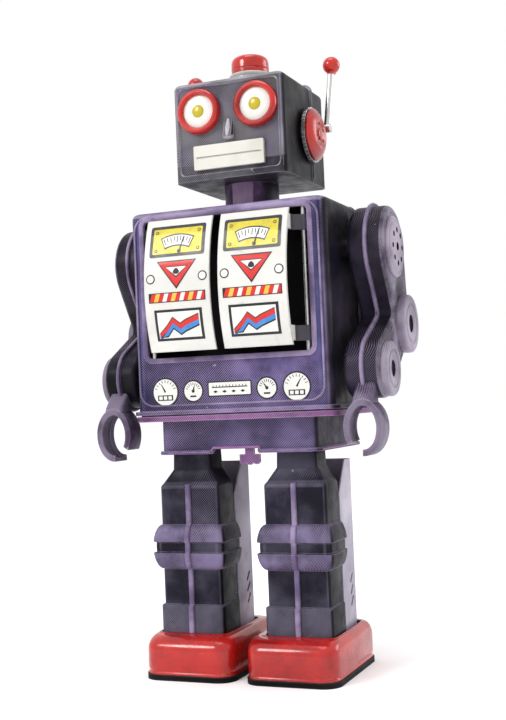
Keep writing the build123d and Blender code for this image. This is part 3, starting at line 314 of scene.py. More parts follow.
# ---------------------------------------------------------------- mesh helpers
def piece(name, mesh, material, body, nodes=(), smooth=35, second=None, is_second=None):
    """Turn a bmesh (millimetres) into a named piece that rides on a body and may stand for CAD nodes."""
    bmesh.ops.recalc_face_normals(mesh, faces=mesh.faces)
    if second:
        for face in mesh.faces:
            face.material_index = int(is_second(face.calc_center_median(), face.normal))
    bmesh.ops.scale(mesh, vec=(MM, MM, MM), verts=mesh.verts)
    data = bpy.data.meshes.new(name)
    mesh.to_mesh(data)
    mesh.free()
    data.materials.append(material)
    if second:
        data.materials.append(second)
    made = bpy.data.objects.new(name, data)
    bpy.context.collection.objects.link(made)
    for polygon in data.polygons:
        polygon.use_smooth = True
    data.set_sharp_from_angle(angle=math.radians(smooth))
    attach(made, body)
    if nodes:
        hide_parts(*nodes)
    return made


def loft(mesh, rings, capped=True):
    """Skin a row of rings with the same number of points. If the last is the first, they are joined."""
    closed = rings[0] == rings[-1]
    rows = [[mesh.verts.new(point) for point in ring] for ring in (rings[:-1] if closed else rings)]
    if closed:
        rows.append(rows[0])
    for lower, upper in zip(rows, rows[1:]):
        for index, corner in enumerate(lower):
            after = (index + 1) % len(lower)
            mesh.faces.new((corner, lower[after], upper[after], upper[index]))
    if capped and not closed:
        mesh.faces.new(rows[0])
        mesh.faces.new(rows[-1])
    return rows


def rounded_box(half_a, half_b, corner, steps=6):
    """Corner-rounded rectangle about the origin, counter-clockwise."""
    outline = []
    for sign_a, sign_b, start in ((1, 1, 0), (-1, 1, 90), (-1, -1, 180), (1, -1, 270)):
        for step in range(steps + 1):
            angle = math.radians(start + 90 * step / steps)
            outline.append((sign_a * (half_a - corner) + corner * math.cos(angle),
                            sign_b * (half_b - corner) + corner * math.sin(angle)))
    return outline


def ring_at(x, y, z, outline, side=1):
    """An (x, y) outline laid flat at a height about a centre, mirrored when side is -1."""
    return [(side * (x + dx), y + dy, z) for dx, dy in outline]


def ring_edges(mesh, ring):
    return [mesh.edges.get(pair) for pair in zip(ring, ring[1:] + ring[:1])]


def turned(mesh, profile, centre, axis, steps=72):
    """Revolve (distance along the axis, radius) points about an axis through the centre."""
    along = {"x": Vector((1, 0, 0)), "y": Vector((0, 1, 0)), "z": Vector((0, 0, 1))}[axis]
    first = Vector((0, 0, 1)) if axis != "z" else Vector((1, 0, 0))
    second = along.cross(first)
    turn = math.tau / steps
    loft(mesh, [[Vector(centre) + along * distance
                 + radius * (first * math.cos(turn * i) + second * math.sin(turn * i)) for i in range(steps)]
                for distance, radius in profile])


def tube(mesh, path, radius, closed=False, steps=8):
    """Round wire along a path of points, with a frame carried from point to point."""
    points = [Vector(point) for point in path]
    count = len(points)
    rings, across = [], None
    for index, point in enumerate(points):
        before = points[index - 1] if closed or index else point
        after = points[(index + 1) % count] if closed or index < count - 1 else point
        along = (after - before).normalized()
        if across is None:
            across = along.orthogonal().normalized()
        across = (across - along * across.dot(along)).normalized()
        up = along.cross(across)
        turns = [math.tau * i / steps for i in range(steps)]
        rings.append([point + radius * (across * math.cos(turn) + up * math.sin(turn)) for turn in turns])
    rows = loft(mesh, rings, capped=not closed)
    if closed:
        last, start = rows[-1], rows[0]
        shift = min(range(steps), key=lambda s: (last[0].co - start[s].co).length)
        for i in range(steps):
            j = (i + 1) % steps
            mesh.faces.new((last[i], last[j], start[(j + shift) % steps], start[(i + shift) % steps]))


def span(node):
    """Low and high corner of a CAD node in millimetres."""
    low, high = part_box(node)
    return Vector(low) / MM, Vector(high) / MM


def centre_of(node):
    low, high = span(node)
    return (low + high) / 2


SHEET = 0.6    # thickness of the tinplate
SIDES = ((1, "left"), (-1, "right"))


# ---------------------------------------------------------------- head
rear_low, rear_high = span("head_rear_shell")
HEAD_HALF, HEAD_TOP, HEAD_FLOOR = rear_high.x, rear_high.z, rear_low.z
HEAD_MIDDLE_Z, HEAD_HALF_H = (HEAD_TOP + HEAD_FLOOR) / 2, (HEAD_TOP - HEAD_FLOOR) / 2
FACE_FRONT, HEAD_SEAM = centre_of("eye_bezels").y + 0.8, rear_low.y

trim = bmesh.new()
# raised bead round the sunk face, and the rolled seam between the two halves of the head
tube(trim, [(x, FACE_FRONT - 0.75 + 1.6, HEAD_MIDDLE_Z + 0.2 + z)
            for x, z in rounded_box(HEAD_HALF - 1.9, HEAD_HALF_H - 1.9, 2.6)], 0.60, closed=True)
tube(trim, [(x, HEAD_SEAM - 0.4, HEAD_MIDDLE_Z + 0.4 + z)
            for x, z in rounded_box(HEAD_HALF + 0.45, HEAD_HALF_H + 0.1, 3.0)], 0.42, closed=True)
piece("head_trim", trim, GREY_TRIM, "head")

nose = bmesh.new()
# slim bridge that widens into two nostrils
loft(nose, [[(x * half * 1.15, FACE_FRONT + 0.9 - y * depth, z) for x, y in
             ((-1, 0), (-0.75, 0.75), (0, 1), (0.75, 0.75), (1, 0))]
            for z, half, depth in ((206.6, 0.4, 0.5), (205.0, 0.8, 1.2), (202.0, 1.3, 2.0),
                                   (200.2, 1.65, 2.5),
                                   (199.3, 1.7, 2.4), (198.9, 1.4, 1.4))])
for side, name in SIDES:
    turned(nose, ((0.0, 0.05), (0.0, 0.6), (-1.4, 0.75), (-1.9, 0.5), (-1.9, 0.05)),
           (side * 1.1, FACE_FRONT + 0.6, 199.7), "y", 20)
piece("nose", nose, GREY_TRIM, "head")

bezels, discs, pupils = bmesh.new(), bmesh.new(), bmesh.new()
eye_low, eye_high = span("eye_bezels")
EYE_R = (eye_high.z - eye_low.z) / 2
for side, name in SIDES:
    eye = (side * (eye_high.x - EYE_R), eye_high.y, (eye_low.z + eye_high.z) / 2)
    turned(bezels, ((0, 5.9), (0, EYE_R), (-1.7, EYE_R), (-2.5, EYE_R - 0.25), (-3.0, EYE_R - 0.75),
                    (-3.2, EYE_R - 1.3), (-3.05, EYE_R - 1.8), (-2.6, EYE_R - 2.15), (-1.6, EYE_R - 2.3),
                    (-1.0, 5.9)), eye, "y", 96)
    turned(discs, ((0, 0.05), (0, 6.2), (-1.45, 6.2), (-1.65, 5.6), (-1.85, 4.0), (-1.9, 0.05)), eye, "y", 72)
    turned(pupils, ((-1.7, 0.05), (-1.7, 2.4), (-1.95, 2.35), (-2.2, 1.9), (-2.3, 0.05)), eye, "y", 48)
piece("eye_bezel_rings", bezels, RED, "head", ["eye_bezels"])
piece("eye_whites", discs, WHITE, "head", ["eye_discs"], smooth=50)
piece("eye_centres", pupils, YELLOW, "head", ["eye_pupils"], smooth=50)

lamp_low, lamp_high = span("top_lamp")
LAMP_R = (lamp_high.x - lamp_low.x) / 2
lamp_place = (0, centre_of("top_lamp").y, lamp_low.z)
foot_height = lamp_low.z - span("lamp_base")[0].z
lamp, lamp_foot = bmesh.new(), bmesh.new()
turned(lamp, ((0, 0.05), (0, LAMP_R - 0.3), (0.3, LAMP_R), (1.5, LAMP_R), (1.8, LAMP_R - 0.25), (2.1, LAMP_R),
              (4.4, LAMP_R - 0.05), (5.6, LAMP_R - 0.3), (6.4, LAMP_R - 0.9), (7.0, LAMP_R - 1.9),
              (7.3, LAMP_R - 3.2), (7.4, 0.05)), lamp_place, "z", 96)
turned(lamp_foot, ((-foot_height, 0.05), (-foot_height, LAMP_R + 1.6), (-foot_height + 0.8, LAMP_R + 1.6),
                   (-foot_height + 1.5, LAMP_R + 1.2), (-foot_height + 3.0, LAMP_R + 0.8),
                   (-1.6, LAMP_R + 0.75), (-1.3, LAMP_R + 0.95), (-0.5, LAMP_R + 0.95), (0, LAMP_R + 0.5),
                   (0, 0.05)),
       lamp_place, "z", 96)
piece("lamp_cap", lamp, RED, "head", ["top_lamp"])
piece("lamp_foot", lamp_foot, LAMP_FOOT, "head", ["lamp_base"])

# ---------------------------------------------------------------- ears and antenna balls
for side, name in SIDES:
    ear_low, ear_high = span(f"ear_dish_{name}")
    ear = ((ear_low.x + ear_high.x) / 2, (ear_low.y + ear_high.y) / 2, (ear_low.z + ear_high.z) / 2)
    ear_r, half_t = (ear_high.z - ear_low.z) / 2, (ear_high.x - ear_low.x) / 2
    dish = bmesh.new()
    turned(dish, [(side * (distance - half_t), radius) for distance, radius in (
        (0, 0.05), (0, ear_r - 0.4), (0.3, ear_r), (0.8, ear_r), (1.3, ear_r - 0.5), (2.1, ear_r - 1.6),
        (2.8, ear_r - 2.9), (3.1, ear_r - 4.0), (3.1, ear_r - 4.6), (2.6, ear_r - 5.6), (2.3, ear_r - 6.8),
        (2.4, 2.4), (3.0, 2.1), (3.2, 1.3), (3.2, 0.05))], ear, "x", 96)
    for spot in range(6):
        angle = math.radians(30 + 60 * spot)
        place = (ear[0] + side * 0.55, ear[1] + 4.4 * math.cos(angle), ear[2] + 4.4 * math.sin(angle))
        turned(dish, [(side * distance, radius) for distance, radius in
                      ((-1.2, 0.05), (-1.2, 0.9), (0.5, 0.85), (0.8, 0.5), (0.9, 0.05))], place, "x", 20)
    piece(f"ear_lens_{name}", dish, RED, f"antenna_{name}", [f"ear_dish_{name}"], smooth=40)
    ball_low, ball_high = span(f"antenna_ball_{name}")
    ball_r = (ball_high.x - ball_low.x) / 2
    ball_x, ball_y = (ball_low.x + ball_high.x) / 2, (ball_low.y + ball_high.y) / 2
    knob = bmesh.new()
    outline = [(-ball_r * math.cos(math.pi * i / 24), max(ball_r * math.sin(math.pi * i / 24), 0.05))
               for i in range(25)]
    turned(knob, outline, (ball_x, ball_y, ball_high.z - ball_r), "z", 48)
    turned(knob, ((-ball_r, 0.05), (-ball_r, 1.7), (-ball_r + 1.2, 1.9), (-ball_r + 1.6, 0.05)),
           (ball_x, ball_y, ball_high.z - ball_r), "z", 32)
    piece(f"antenna_knob_{name}", knob, RED, f"antenna_{name}",
          [f"antenna_ball_{name}"], smooth=50)

# ---------------------------------------------------------------- torso trim
torso_low, torso_high = span("torso_front_shell")
tray_low, tray_high = span("chest_tray")
TORSO_FRONT = tray_low.y - SHEET
TORSO_HALF, TORSO_TOP, TORSO_FOOT = torso_high.x - 1.5, torso_high.z, torso_low.z
TRAY_RIM = 1.1    # the tray reaches this far past the window's edge
WINDOW_HALF, WINDOW_LOW, WINDOW_HIGH = tray_high.x - TRAY_RIM, tray_low.z + TRAY_RIM, tray_high.z - TRAY_RIM
WINDOW_MIDDLE, WINDOW_HALF_H = (WINDOW_LOW + WINDOW_HIGH) / 2, (WINDOW_HIGH - WINDOW_LOW) / 2

window_trim = bmesh.new()
# turned edge of the window: a bevelled frame that lines the opening
frame_rings = []
for grow, out in ((-0.5, 1.3), (-0.5, -0.35), (-0.1, -0.6), (0.9, -0.6), (1.4, -0.35), (1.5, 0.3),
                  (1.5, 1.3)):
    frame_rings.append([(x, TORSO_FRONT + out, WINDOW_MIDDLE + z)
                        for x, z in rounded_box(WINDOW_HALF + grow, WINDOW_HALF_H + grow, 2.2 + grow)])
loft(window_trim, frame_rings + frame_rings[:1])
piece("window_frame", window_trim, TRIM, "body")

beads = bmesh.new()
bead_low, bead_high = TORSO_FOOT + 3.4, TORSO_TOP - 1.6
tube(beads, [(x, TORSO_FRONT + 0.15, (bead_low + bead_high) / 2 + z) for x, z in
             rounded_box(TORSO_HALF - 2.6, (bead_high - bead_low) / 2, 5.5)], 0.42, closed=True)
seam_y = torso_high.y - 0.35
neck_low, neck_high = span("neck_tube")
neck_r, neck_y = (neck_high.x - neck_low.x) / 2 + 0.8, (neck_low.y + neck_high.y) / 2
neck_gap = math.sqrt(neck_r ** 2 - (seam_y - neck_y) ** 2)
tube(beads, [(-TORSO_HALF - 0.1, seam_y, TORSO_FOOT + 1.4), (-TORSO_HALF - 0.1, seam_y, TORSO_TOP - 3.0)]
     + [(-TORSO_HALF + 2.4 - 2.5 * math.cos(a), seam_y, TORSO_TOP - 2.5 + 2.6 * math.sin(a))
        for a in (math.radians(15 * i) for i in range(7))]
     + [(-neck_gap, seam_y, TORSO_TOP + 0.1)], 0.4)
tube(beads, [(neck_gap, seam_y, TORSO_TOP + 0.1)]
     + [(TORSO_HALF - 2.4 + 2.5 * math.cos(a), seam_y, TORSO_TOP - 2.5 + 2.6 * math.sin(a))
        for a in (math.radians(90 - 15 * i) for i in range(7))]
     + [(TORSO_HALF + 0.1, seam_y, TORSO_TOP - 3.0), (TORSO_HALF + 0.1, seam_y, TORSO_FOOT + 1.4)], 0.4)
piece("torso_beads", beads, TRIM, "body")

arbor_low, arbor_high = span("winding_arbor")
ARBOR_OUT = 7.0    # the arbor stands this far out of the back
WINDING_Z, TORSO_REAR = (arbor_low.z + arbor_high.z) / 2, arbor_high.y - ARBOR_OUT
RIVET_X, RIVET_Z, RIVET_MIDDLE = 33, 28, WINDING_Z + 5
back_trim = bmesh.new()
turned(back_trim, ((0.3, 4.1), (-0.1, 4.1), (0.0, 6.4), (0.5, 6.4), (0.8, 5.9), (0.8, 4.6), (0.3, 4.1)),
       (0, TORSO_REAR, WINDING_Z), "y", 72)
for corner_x in (-1, 1):
    for corner_z in (-1, 1):
        turned(back_trim, ((-0.2, 0.05), (-0.2, 1.5), (0.35, 1.4), (0.7, 0.9), (0.8, 0.05)),
               (corner_x * RIVET_X, TORSO_REAR, RIVET_MIDDLE + corner_z * RIVET_Z), "y", 28)
piece("back_trim", back_trim, TRIM, "body")

skirt_low, skirt_high = span("skirt")
skirt_middle = (skirt_low + skirt_high) / 2
SKIRT_HALF, SKIRT_HALF_D = (skirt_high.x - skirt_low.x) / 2 - 0.5, (skirt_high.y - skirt_low.y) / 2 - 0.5
hem = bmesh.new()
hem_path = ring_at(0, skirt_middle.y, skirt_low.z + 0.6, rounded_box(SKIRT_HALF, SKIRT_HALF_D, 4.0))
front_start = max(i for i, (x, y, z) in enumerate(hem_path) if y < skirt_middle.y and x < 0) + 1
notch_y = hem_path[front_start - 1][1]
notch = [(-10.4, notch_y, skirt_low.z + 0.6), (-9.3, notch_y + 0.6, skirt_low.z + 2.2),
         (8.8, notch_y + 0.6, skirt_low.z + 2.2), (9.9, notch_y, skirt_low.z + 0.6)]
tube(hem, hem_path[:front_start] + notch + hem_path[front_start:], 0.55, closed=True)
piece("skirt_hem", hem, PINK_TRIM, "body")

plate_low, plate_high = span("base_plate")
lip = bmesh.new()
plate_y, plate_half = (plate_low.y + plate_high.y) / 2, plate_high.x
plate_half_d = (plate_high.y - plate_low.y) / 2
lip_rings = []
for grow, z in ((-1.6, 0.0), (-0.5, 0.0), (0.0, 0.35), (0.15, 1.0), (0.0, 1.65), (-0.5, 2.0),
                (-1.6, 2.0)):
    lip_rings.append(ring_at(0, plate_y, plate_low.z + z,
                             rounded_box(plate_half - 0.2 + grow, plate_half_d - 0.2 + grow, 6.0 + grow)))
loft(lip, lip_rings + lip_rings[:1])
piece("base_lip", lip, PINK_TRIM, "body")

# ---------------------------------------------------------------- arms
def centre_yz(node):
    middle = centre_of(node)
    return Vector((middle.y, middle.z))


SHOULDER, ELBOW = centre_yz("shoulder_disc_left"), centre_yz("elbow_disc_left")
WRIST = centre_yz("wrist_disc_left") + Vector((-0.8, 0.5))
SHOULDER_R, ELBOW_R, WRIST_R = 15.5, 8.5, 11.0


def arc_points(middle, radius, start, end, steps):
    return [middle + radius * Vector((math.cos(start + (end - start) * i / steps),
                                      math.sin(start + (end - start) * i / steps))) for i in range(steps + 1)]


def circle(middle, radius, points):
    """Closed ring of points; the last is one step short of the first."""
    return arc_points(middle, radius, 0, math.tau * (points - 1) / points, points - 1)


def tangents(first, first_r, second, second_r, side):
    """Angle at which an outer tangent touches two circles, on one side of the line between them."""
    gap = second - first
    return math.atan2(gap.y, gap.x) + side * math.acos((first_r - second_r) / gap.length)


def arm_path(grow):
    """Outline of the bent arm in (y, z), running clockwise, with the inside of the elbow rounded."""
    upper, joint, lower = SHOULDER_R + grow, ELBOW_R + grow, WRIST_R + grow
    out_a, out_b = tangents(SHOULDER, upper, ELBOW, joint, 1), tangents(ELBOW, joint, WRIST, lower, 1)
    in_a, in_b = tangents(SHOULDER, upper, ELBOW, joint, -1), tangents(ELBOW, joint, WRIST, lower, -1)
    path = []
    arcs = ((SHOULDER, upper, in_a, out_a, 40), (ELBOW, joint, out_a, out_b, 12),
            (WRIST, lower, out_b, in_b, 32))
    for centre, radius, start, end, steps in arcs:
        path += arc_points(centre, radius, start, start - (start - end) % math.tau, steps)
    # corner where the two inner tangents cross
    ray_a, ray_b = Vector((-math.sin(in_a), math.cos(in_a))), Vector((-math.sin(in_b), math.cos(in_b)))
    start, end = path[0], path[-1]
    across = end - start
    reach = (across.x * ray_b.y - across.y * ray_b.x) / (ray_a.x * ray_b.y - ray_a.y * ray_b.x)
    corner = start + ray_a * reach
    near, far = corner + (end - corner).normalized() * 3.5, corner + (start - corner).normalized() * 3.5
    for step in range(7):
        t = step / 6
        path.append(near * (1 - t) ** 2 + corner * 2 * t * (1 - t) + far * t ** 2)
    return path


def fillet(depth, radius, steps=5):
    """(x, grow) pairs that round an edge over at the given depth."""
    return [(depth - radius + radius * math.sin(math.radians(90 * i / steps)),
             -radius + radius * math.cos(math.radians(90 * i / steps))) for i in range(steps + 1)]


inner_low, inner_high = span("arm_inner_shell_left")
outer_high = span("arm_outer_shell_left")[1]
SEAM_X, OUTER_DEPTH, INNER_DEPTH = inner_high.x, outer_high.x - inner_high.x, inner_high.x - inner_low.x
groove = [(OUTER_DEPTH, -2.3), (OUTER_DEPTH - 0.35, -2.6), (OUTER_DEPTH - 0.35, -3.1), (OUTER_DEPTH, -3.4)]
outer_steps = [(0.0, 1.2), (0.5, 1.2), (0.6, 0.9), (0.65, 0.0)] + fillet(OUTER_DEPTH, 1.9) + groove
inner_steps = [(0.0, 1.2), (-0.5, 1.2), (-0.6, 0.9), (-0.65, 0.0)]
inner_steps += [(-x, grow) for x, grow in fillet(INNER_DEPTH, 1.9)]
SHAFT_END, SHEET_IN = span("shoulder_shaft")[1].x, inner_low.x + SHEET
COLLAR_BORE, SHAFT_BORE = 5.6, 2.3
CLAW_HALF_H, CLAW_DEPTH = 10.0, 9.5
outer_bore = ((SEAM_X, COLLAR_BORE), (SHAFT_END + 0.5, COLLAR_BORE))
inner_bore = ((SEAM_X, COLLAR_BORE), (SHEET_IN, COLLAR_BORE), (SHEET_IN, SHAFT_BORE),
              (inner_low.x, SHAFT_BORE))


for side, name in SIDES:
    for label, steps, bore, paint, node in (("outer", outer_steps, outer_bore, ARM, "arm_outer_shell"),
                                            ("inner", inner_steps, inner_bore, ARM_DARK, "arm_inner_shell")):
        half = bmesh.new()
        skin = loft(half, [[(side * (SEAM_X + x), p.x, p.y) for p in arm_path(grow)] for x, grow in steps],
                    capped=False)
        wall = loft(half, [[(side * x, p.x, p.y) for p in circle(SHOULDER, radius, 32)]
                           for x, radius in bore], capped=False)
        bmesh.ops.triangle_fill(half, use_beauty=True,
                                edges=ring_edges(half, skin[0]) + ring_edges(half, wall[0]))
        if label == "inner":
            bmesh.ops.triangle_fill(half, use_beauty=True,
                                    edges=ring_edges(half, skin[-1]) + ring_edges(half, wall[-1]))
        else:
            half.faces.new(skin[-1])
            half.faces.new(wall[-1])
        piece(f"arm_{label}_{name}", half, paint, f"arm_{name}", [f"{node}_{name}"],
              second=ARM_DARK, is_second=lambda middle, normal: abs(normal.x) < 0.45)
    seam = bmesh.new()
    tube(seam, [(side * SEAM_X, p.x, p.y) for p in arm_path(0.75)], 0.72, closed=True)
    piece(f"arm_seam_{name}", seam, TRIM, f"arm_{name}")

    cover_low, cover_high = span(f"shoulder_disc_{name}")
    face_x = side * min(abs(cover_low.x), abs(cover_high.x))
    cover = bmesh.new()
    rim = [[(face_x + side * d, p.x, p.y) for p in circle(SHOULDER, r, 96)] for d, r in (
        (-0.3, 11.5), (0.5, 11.5), (0.9, 11.2), (1.1, 10.6), (0.8, 10.1), (0.8, 9.7), (1.2, 9.2), (1.6, 8.4))]
    rim_rows = loft(cover, rim, capped=False)
    cover.faces.new(rim_rows[0])
    outer_ring = rim_rows[-1]
    bounds = ring_edges(cover, outer_ring)
    for spot, radius in [(place, 1.05) for place in circle(SHOULDER, 6.2, 8)] + [(SHOULDER, 1.6)]:
        walls = [[(face_x + side * d, p.x, p.y) for p in circle(spot, radius, 24)] for d in (1.6, 0.4)]
        mouth, floor_ring = loft(cover, walls, capped=False)
        cover.faces.new(floor_ring)
        bounds += ring_edges(cover, mouth)
    bmesh.ops.triangle_fill(cover, use_beauty=True, edges=bounds)
    # painted shade on the floors and walls of the perforations
    piece(f"shoulder_cover_{name}", cover, ARM_DISC, f"arm_{name}", [f"shoulder_disc_{name}"],
          second=RECESS_SHADE, is_second=lambda middle, normal: 0.2 < abs(middle.x) - abs(face_x) < 1.3 and
          math.hypot(middle.y - SHOULDER.x, middle.z - SHOULDER.y) < 7.6)
    covers = (("elbow", ELBOW, 11.0, 3.0), ("wrist", WRIST + Vector((0.8, -0.5)), 10.0, 2.2))
    for joint, place, radius, thick in covers:
        cover = bmesh.new()
        turned(cover, [(side * d, r) for d, r in (
            (-0.3, 0.05), (-0.3, radius), (thick - 1.1, radius), (thick - 0.5, radius - 0.15),
            (thick - 0.1, radius - 0.6), (thick, radius - 1.1), (thick, radius * 0.74),
            (thick - 0.5, radius * 0.70), (thick - 0.5, radius * 0.63), (thick, radius * 0.59),
            (thick, radius * 0.36), (thick - 0.4, radius * 0.30), (thick - 1.4, radius * 0.28),
            (thick - 1.4, 0.05))], (face_x, place.x, place.y), "x", 96)
        # painted shade in the pit at the middle of each cover
        piece(f"{joint}_cover_{name}", cover, ARM_DISC, f"arm_{name}", [f"{joint}_disc_{name}"],
              second=RECESS_SHADE, is_second=lambda middle, normal, place=place, radius=radius:
              math.hypot(middle.y - place.x, middle.z - place.y) < radius * 0.29)

    # C-shaped claw: a strip with both edges turned in, swept round an ellipse, and its knuckle
    hand_low, hand_high = span(f"hand_{name}")
    claw_x = side * (abs(hand_low.x) + abs(hand_high.x)) / 2
    half_w, half_h = (hand_high.x - hand_low.x) / 2, CLAW_HALF_H
    claw_z = hand_low.z + half_h
    front, back = hand_low.y, hand_low.y + CLAW_DEPTH
    section = ((0.5, front), (0.15, front + 0.15), (0.0, front + 0.5), (0.0, back - 0.5), (0.15, back - 0.15),
               (0.5, back), (2.0, back), (2.35, back - 0.3), (2.35, back - 0.8), (2.0, back - 1.1),
               (1.2, back - 1.3), (1.2, front + 1.3), (2.0, front + 1.1), (2.35, front + 0.8),
               (2.35, front + 0.3), (2.0, front))
    claw = bmesh.new()
    rings = []
    for step in range(61):
        angle = math.radians(-93 + 308 * step / 60)
        rings.append([(claw_x + side * (half_w - inset) * math.cos(angle), y,
                       claw_z + (half_h - inset) * math.sin(angle)) for inset, y in section])
    loft(claw, rings)
    loft(claw, [ring_at(side * claw_x, (front + back) / 2 + shift, claw_z + half_h + up,
                        rounded_box(half, depth, 1.4, 4), side)
                for up, half, shift, depth in ((-1.2, 3.9, 0.0, 4.4), (0.8, 3.6, 0.5, 4.3),
                                               (3.0, 3.6, 2.4, 4.2), (6.0, 3.6, 5.2, 4.0),
                                               (7.6, 3.4, 6.6, 3.6))])
    piece(f"claw_{name}", claw, HAND, f"arm_{name}", [f"hand_{name}"])

# ---------------------------------------------------------------- legs and shoes
leg_low, leg_high = span("leg_front_shell_left")
rear_leg_low, rear_leg_high = span("leg_rear_shell_left")
LEG_X, LEG_HALF = (rear_leg_low.x + rear_leg_high.x) / 2, (rear_leg_high.x - rear_leg_low.x) / 2
# the CAD leg's front stands out 4 mm at the rib and the knee
LEG_FRONT, LEG_SPLIT, KNEE_Z = leg_low.y + 4.0, rear_leg_low.y, 47.5
KNEE_HALF, RIB_TOP, CUFF = 8.2, 71.0, 0.9


def knee_bulge(z, half_height=KNEE_HALF, bulge=2.8, groove=2.1, groove_depth=0.9):
    """How far the leg's front and sides stand out round the knee."""
    offset = abs(z - KNEE_Z)
    if offset >= half_height:
        return 0.0
    swell = bulge * math.sqrt(1 - (offset / half_height) ** 2)
    if offset < groove:
        swell -= groove_depth * min(1.0, (groove - offset) / 0.35)
    return swell


leg_steps = [(leg_low.z, CUFF), (25.6, CUFF), (25.9, 0.7), (26.1, 0.0), (38.6, 0.0)]
knee_levels = [KNEE_Z + KNEE_HALF * math.sin(math.radians(-90 + 6 * i)) for i in range(31)]
knee_levels += [KNEE_Z + offset for offset in (-2.45, -2.1, -1.9, -1.75, 1.75, 1.9, 2.1, 2.45)]
leg_steps += [(z, knee_bulge(z)) for z in sorted(knee_levels)]
leg_steps += [(57.0, 0.0), (69.6, 0.0), (70.4, -0.2), (70.9, -0.7), (75.6, -3.6), (76.2, -4.0),
              (leg_high.z, -4.4)]

for side, name in SIDES:
    column, rib = bmesh.new(), bmesh.new()
    rings, rib_rings = [], []
    for z, grow in leg_steps:
        half = LEG_HALF + grow
        front = LEG_FRONT - max(grow, -3.4)
        rings.append(ring_at(LEG_X, (front + LEG_SPLIT) / 2, z,
                             rounded_box(half, (LEG_SPLIT - front) / 2, 2.0), side))
        if z <= RIB_TOP:
            rib_rings.append(ring_at(LEG_X, front - 0.1, z, rounded_box(1.0, 1.0, 0.6, 3), side))
    loft(column, rings)
    loft(rib, rib_rings)
    piece(f"leg_column_{name}", column, LEG, f"leg_{name}", [f"leg_front_shell_{name}"])
    piece(f"leg_rib_{name}", rib, TRIM, f"leg_{name}")

    shoe_low, shoe_high = span(f"shoe_{name}")
    shoe_x, shoe_y = abs(shoe_low.x + shoe_high.x) / 2, (shoe_low.y + shoe_high.y) / 2
    half_w, half_d = (shoe_high.x - shoe_low.x) / 2, (shoe_high.y - shoe_low.y) / 2
    top = shoe_high.z
    # (height, inset at the sides, at the front, at the rear)
    body = [(shoe_low.z + up, inset, inset, inset) for up, inset in
            ((0.0, 0.0), (0.7, 0.0), (1.0, 0.3), (1.4, 0.3), (2.0, 0.0))]
    for step in range(11):
        lean = math.radians(9 * step)
        body.append((top - 5.4 + 5.2 * math.sin(lean), 2.5 * (1 - math.cos(lean)), 6.0 * (1 - math.cos(lean)),
                     3.4 * (1 - math.cos(lean))))
    rings = []
    for z, in_x, in_front, in_rear in body:
        rings.append(ring_at(shoe_x, shoe_y + (in_front - in_rear) / 2, z,
                             rounded_box(half_w - in_x, half_d - (in_front + in_rear) / 2, 6.0), side))
    collar_y, collar_d = (rear_leg_high.y + LEG_FRONT - CUFF) / 2, (rear_leg_high.y - LEG_FRONT + CUFF) / 2
    for grow, z in ((1.35, top - 0.2), (1.15, top), (0.75, top), (0.55, top - 0.25), (0.55, top - 4.0)):
        rings.append(ring_at(LEG_X, collar_y, z,
                             rounded_box(LEG_HALF + CUFF + grow, collar_d + grow, 2.8), side))
    # the wall turns back down inside, so the shoe is open underneath where the roller stands
    rings.append(ring_at(LEG_X, collar_y, top - 4.2,
                         rounded_box(LEG_HALF + CUFF + 1.15, collar_d + 1.15, 2.8), side))
    for z in (top - 5.4, shoe_low.z):
        rings.append(ring_at(shoe_x, shoe_y, z,
                             rounded_box(half_w - SHEET, half_d - SHEET, 6.0 - SHEET), side))
    boot = bmesh.new()
    loft(boot, rings + rings[:1])
    # painted shade on the collar's inner wall, in the gap round the leg
    piece(f"boot_{name}", boot, SHOE, f"leg_{name}", [f"shoe_{name}"], smooth=50,
          second=RECESS_SHADE,
          is_second=lambda middle, normal, top=top: top - 4.1 < middle.z < top - 0.1 and
          abs(abs(middle.x) - LEG_X) < LEG_HALF + 1.5 and abs(middle.y - collar_y) < collar_d + 0.6)

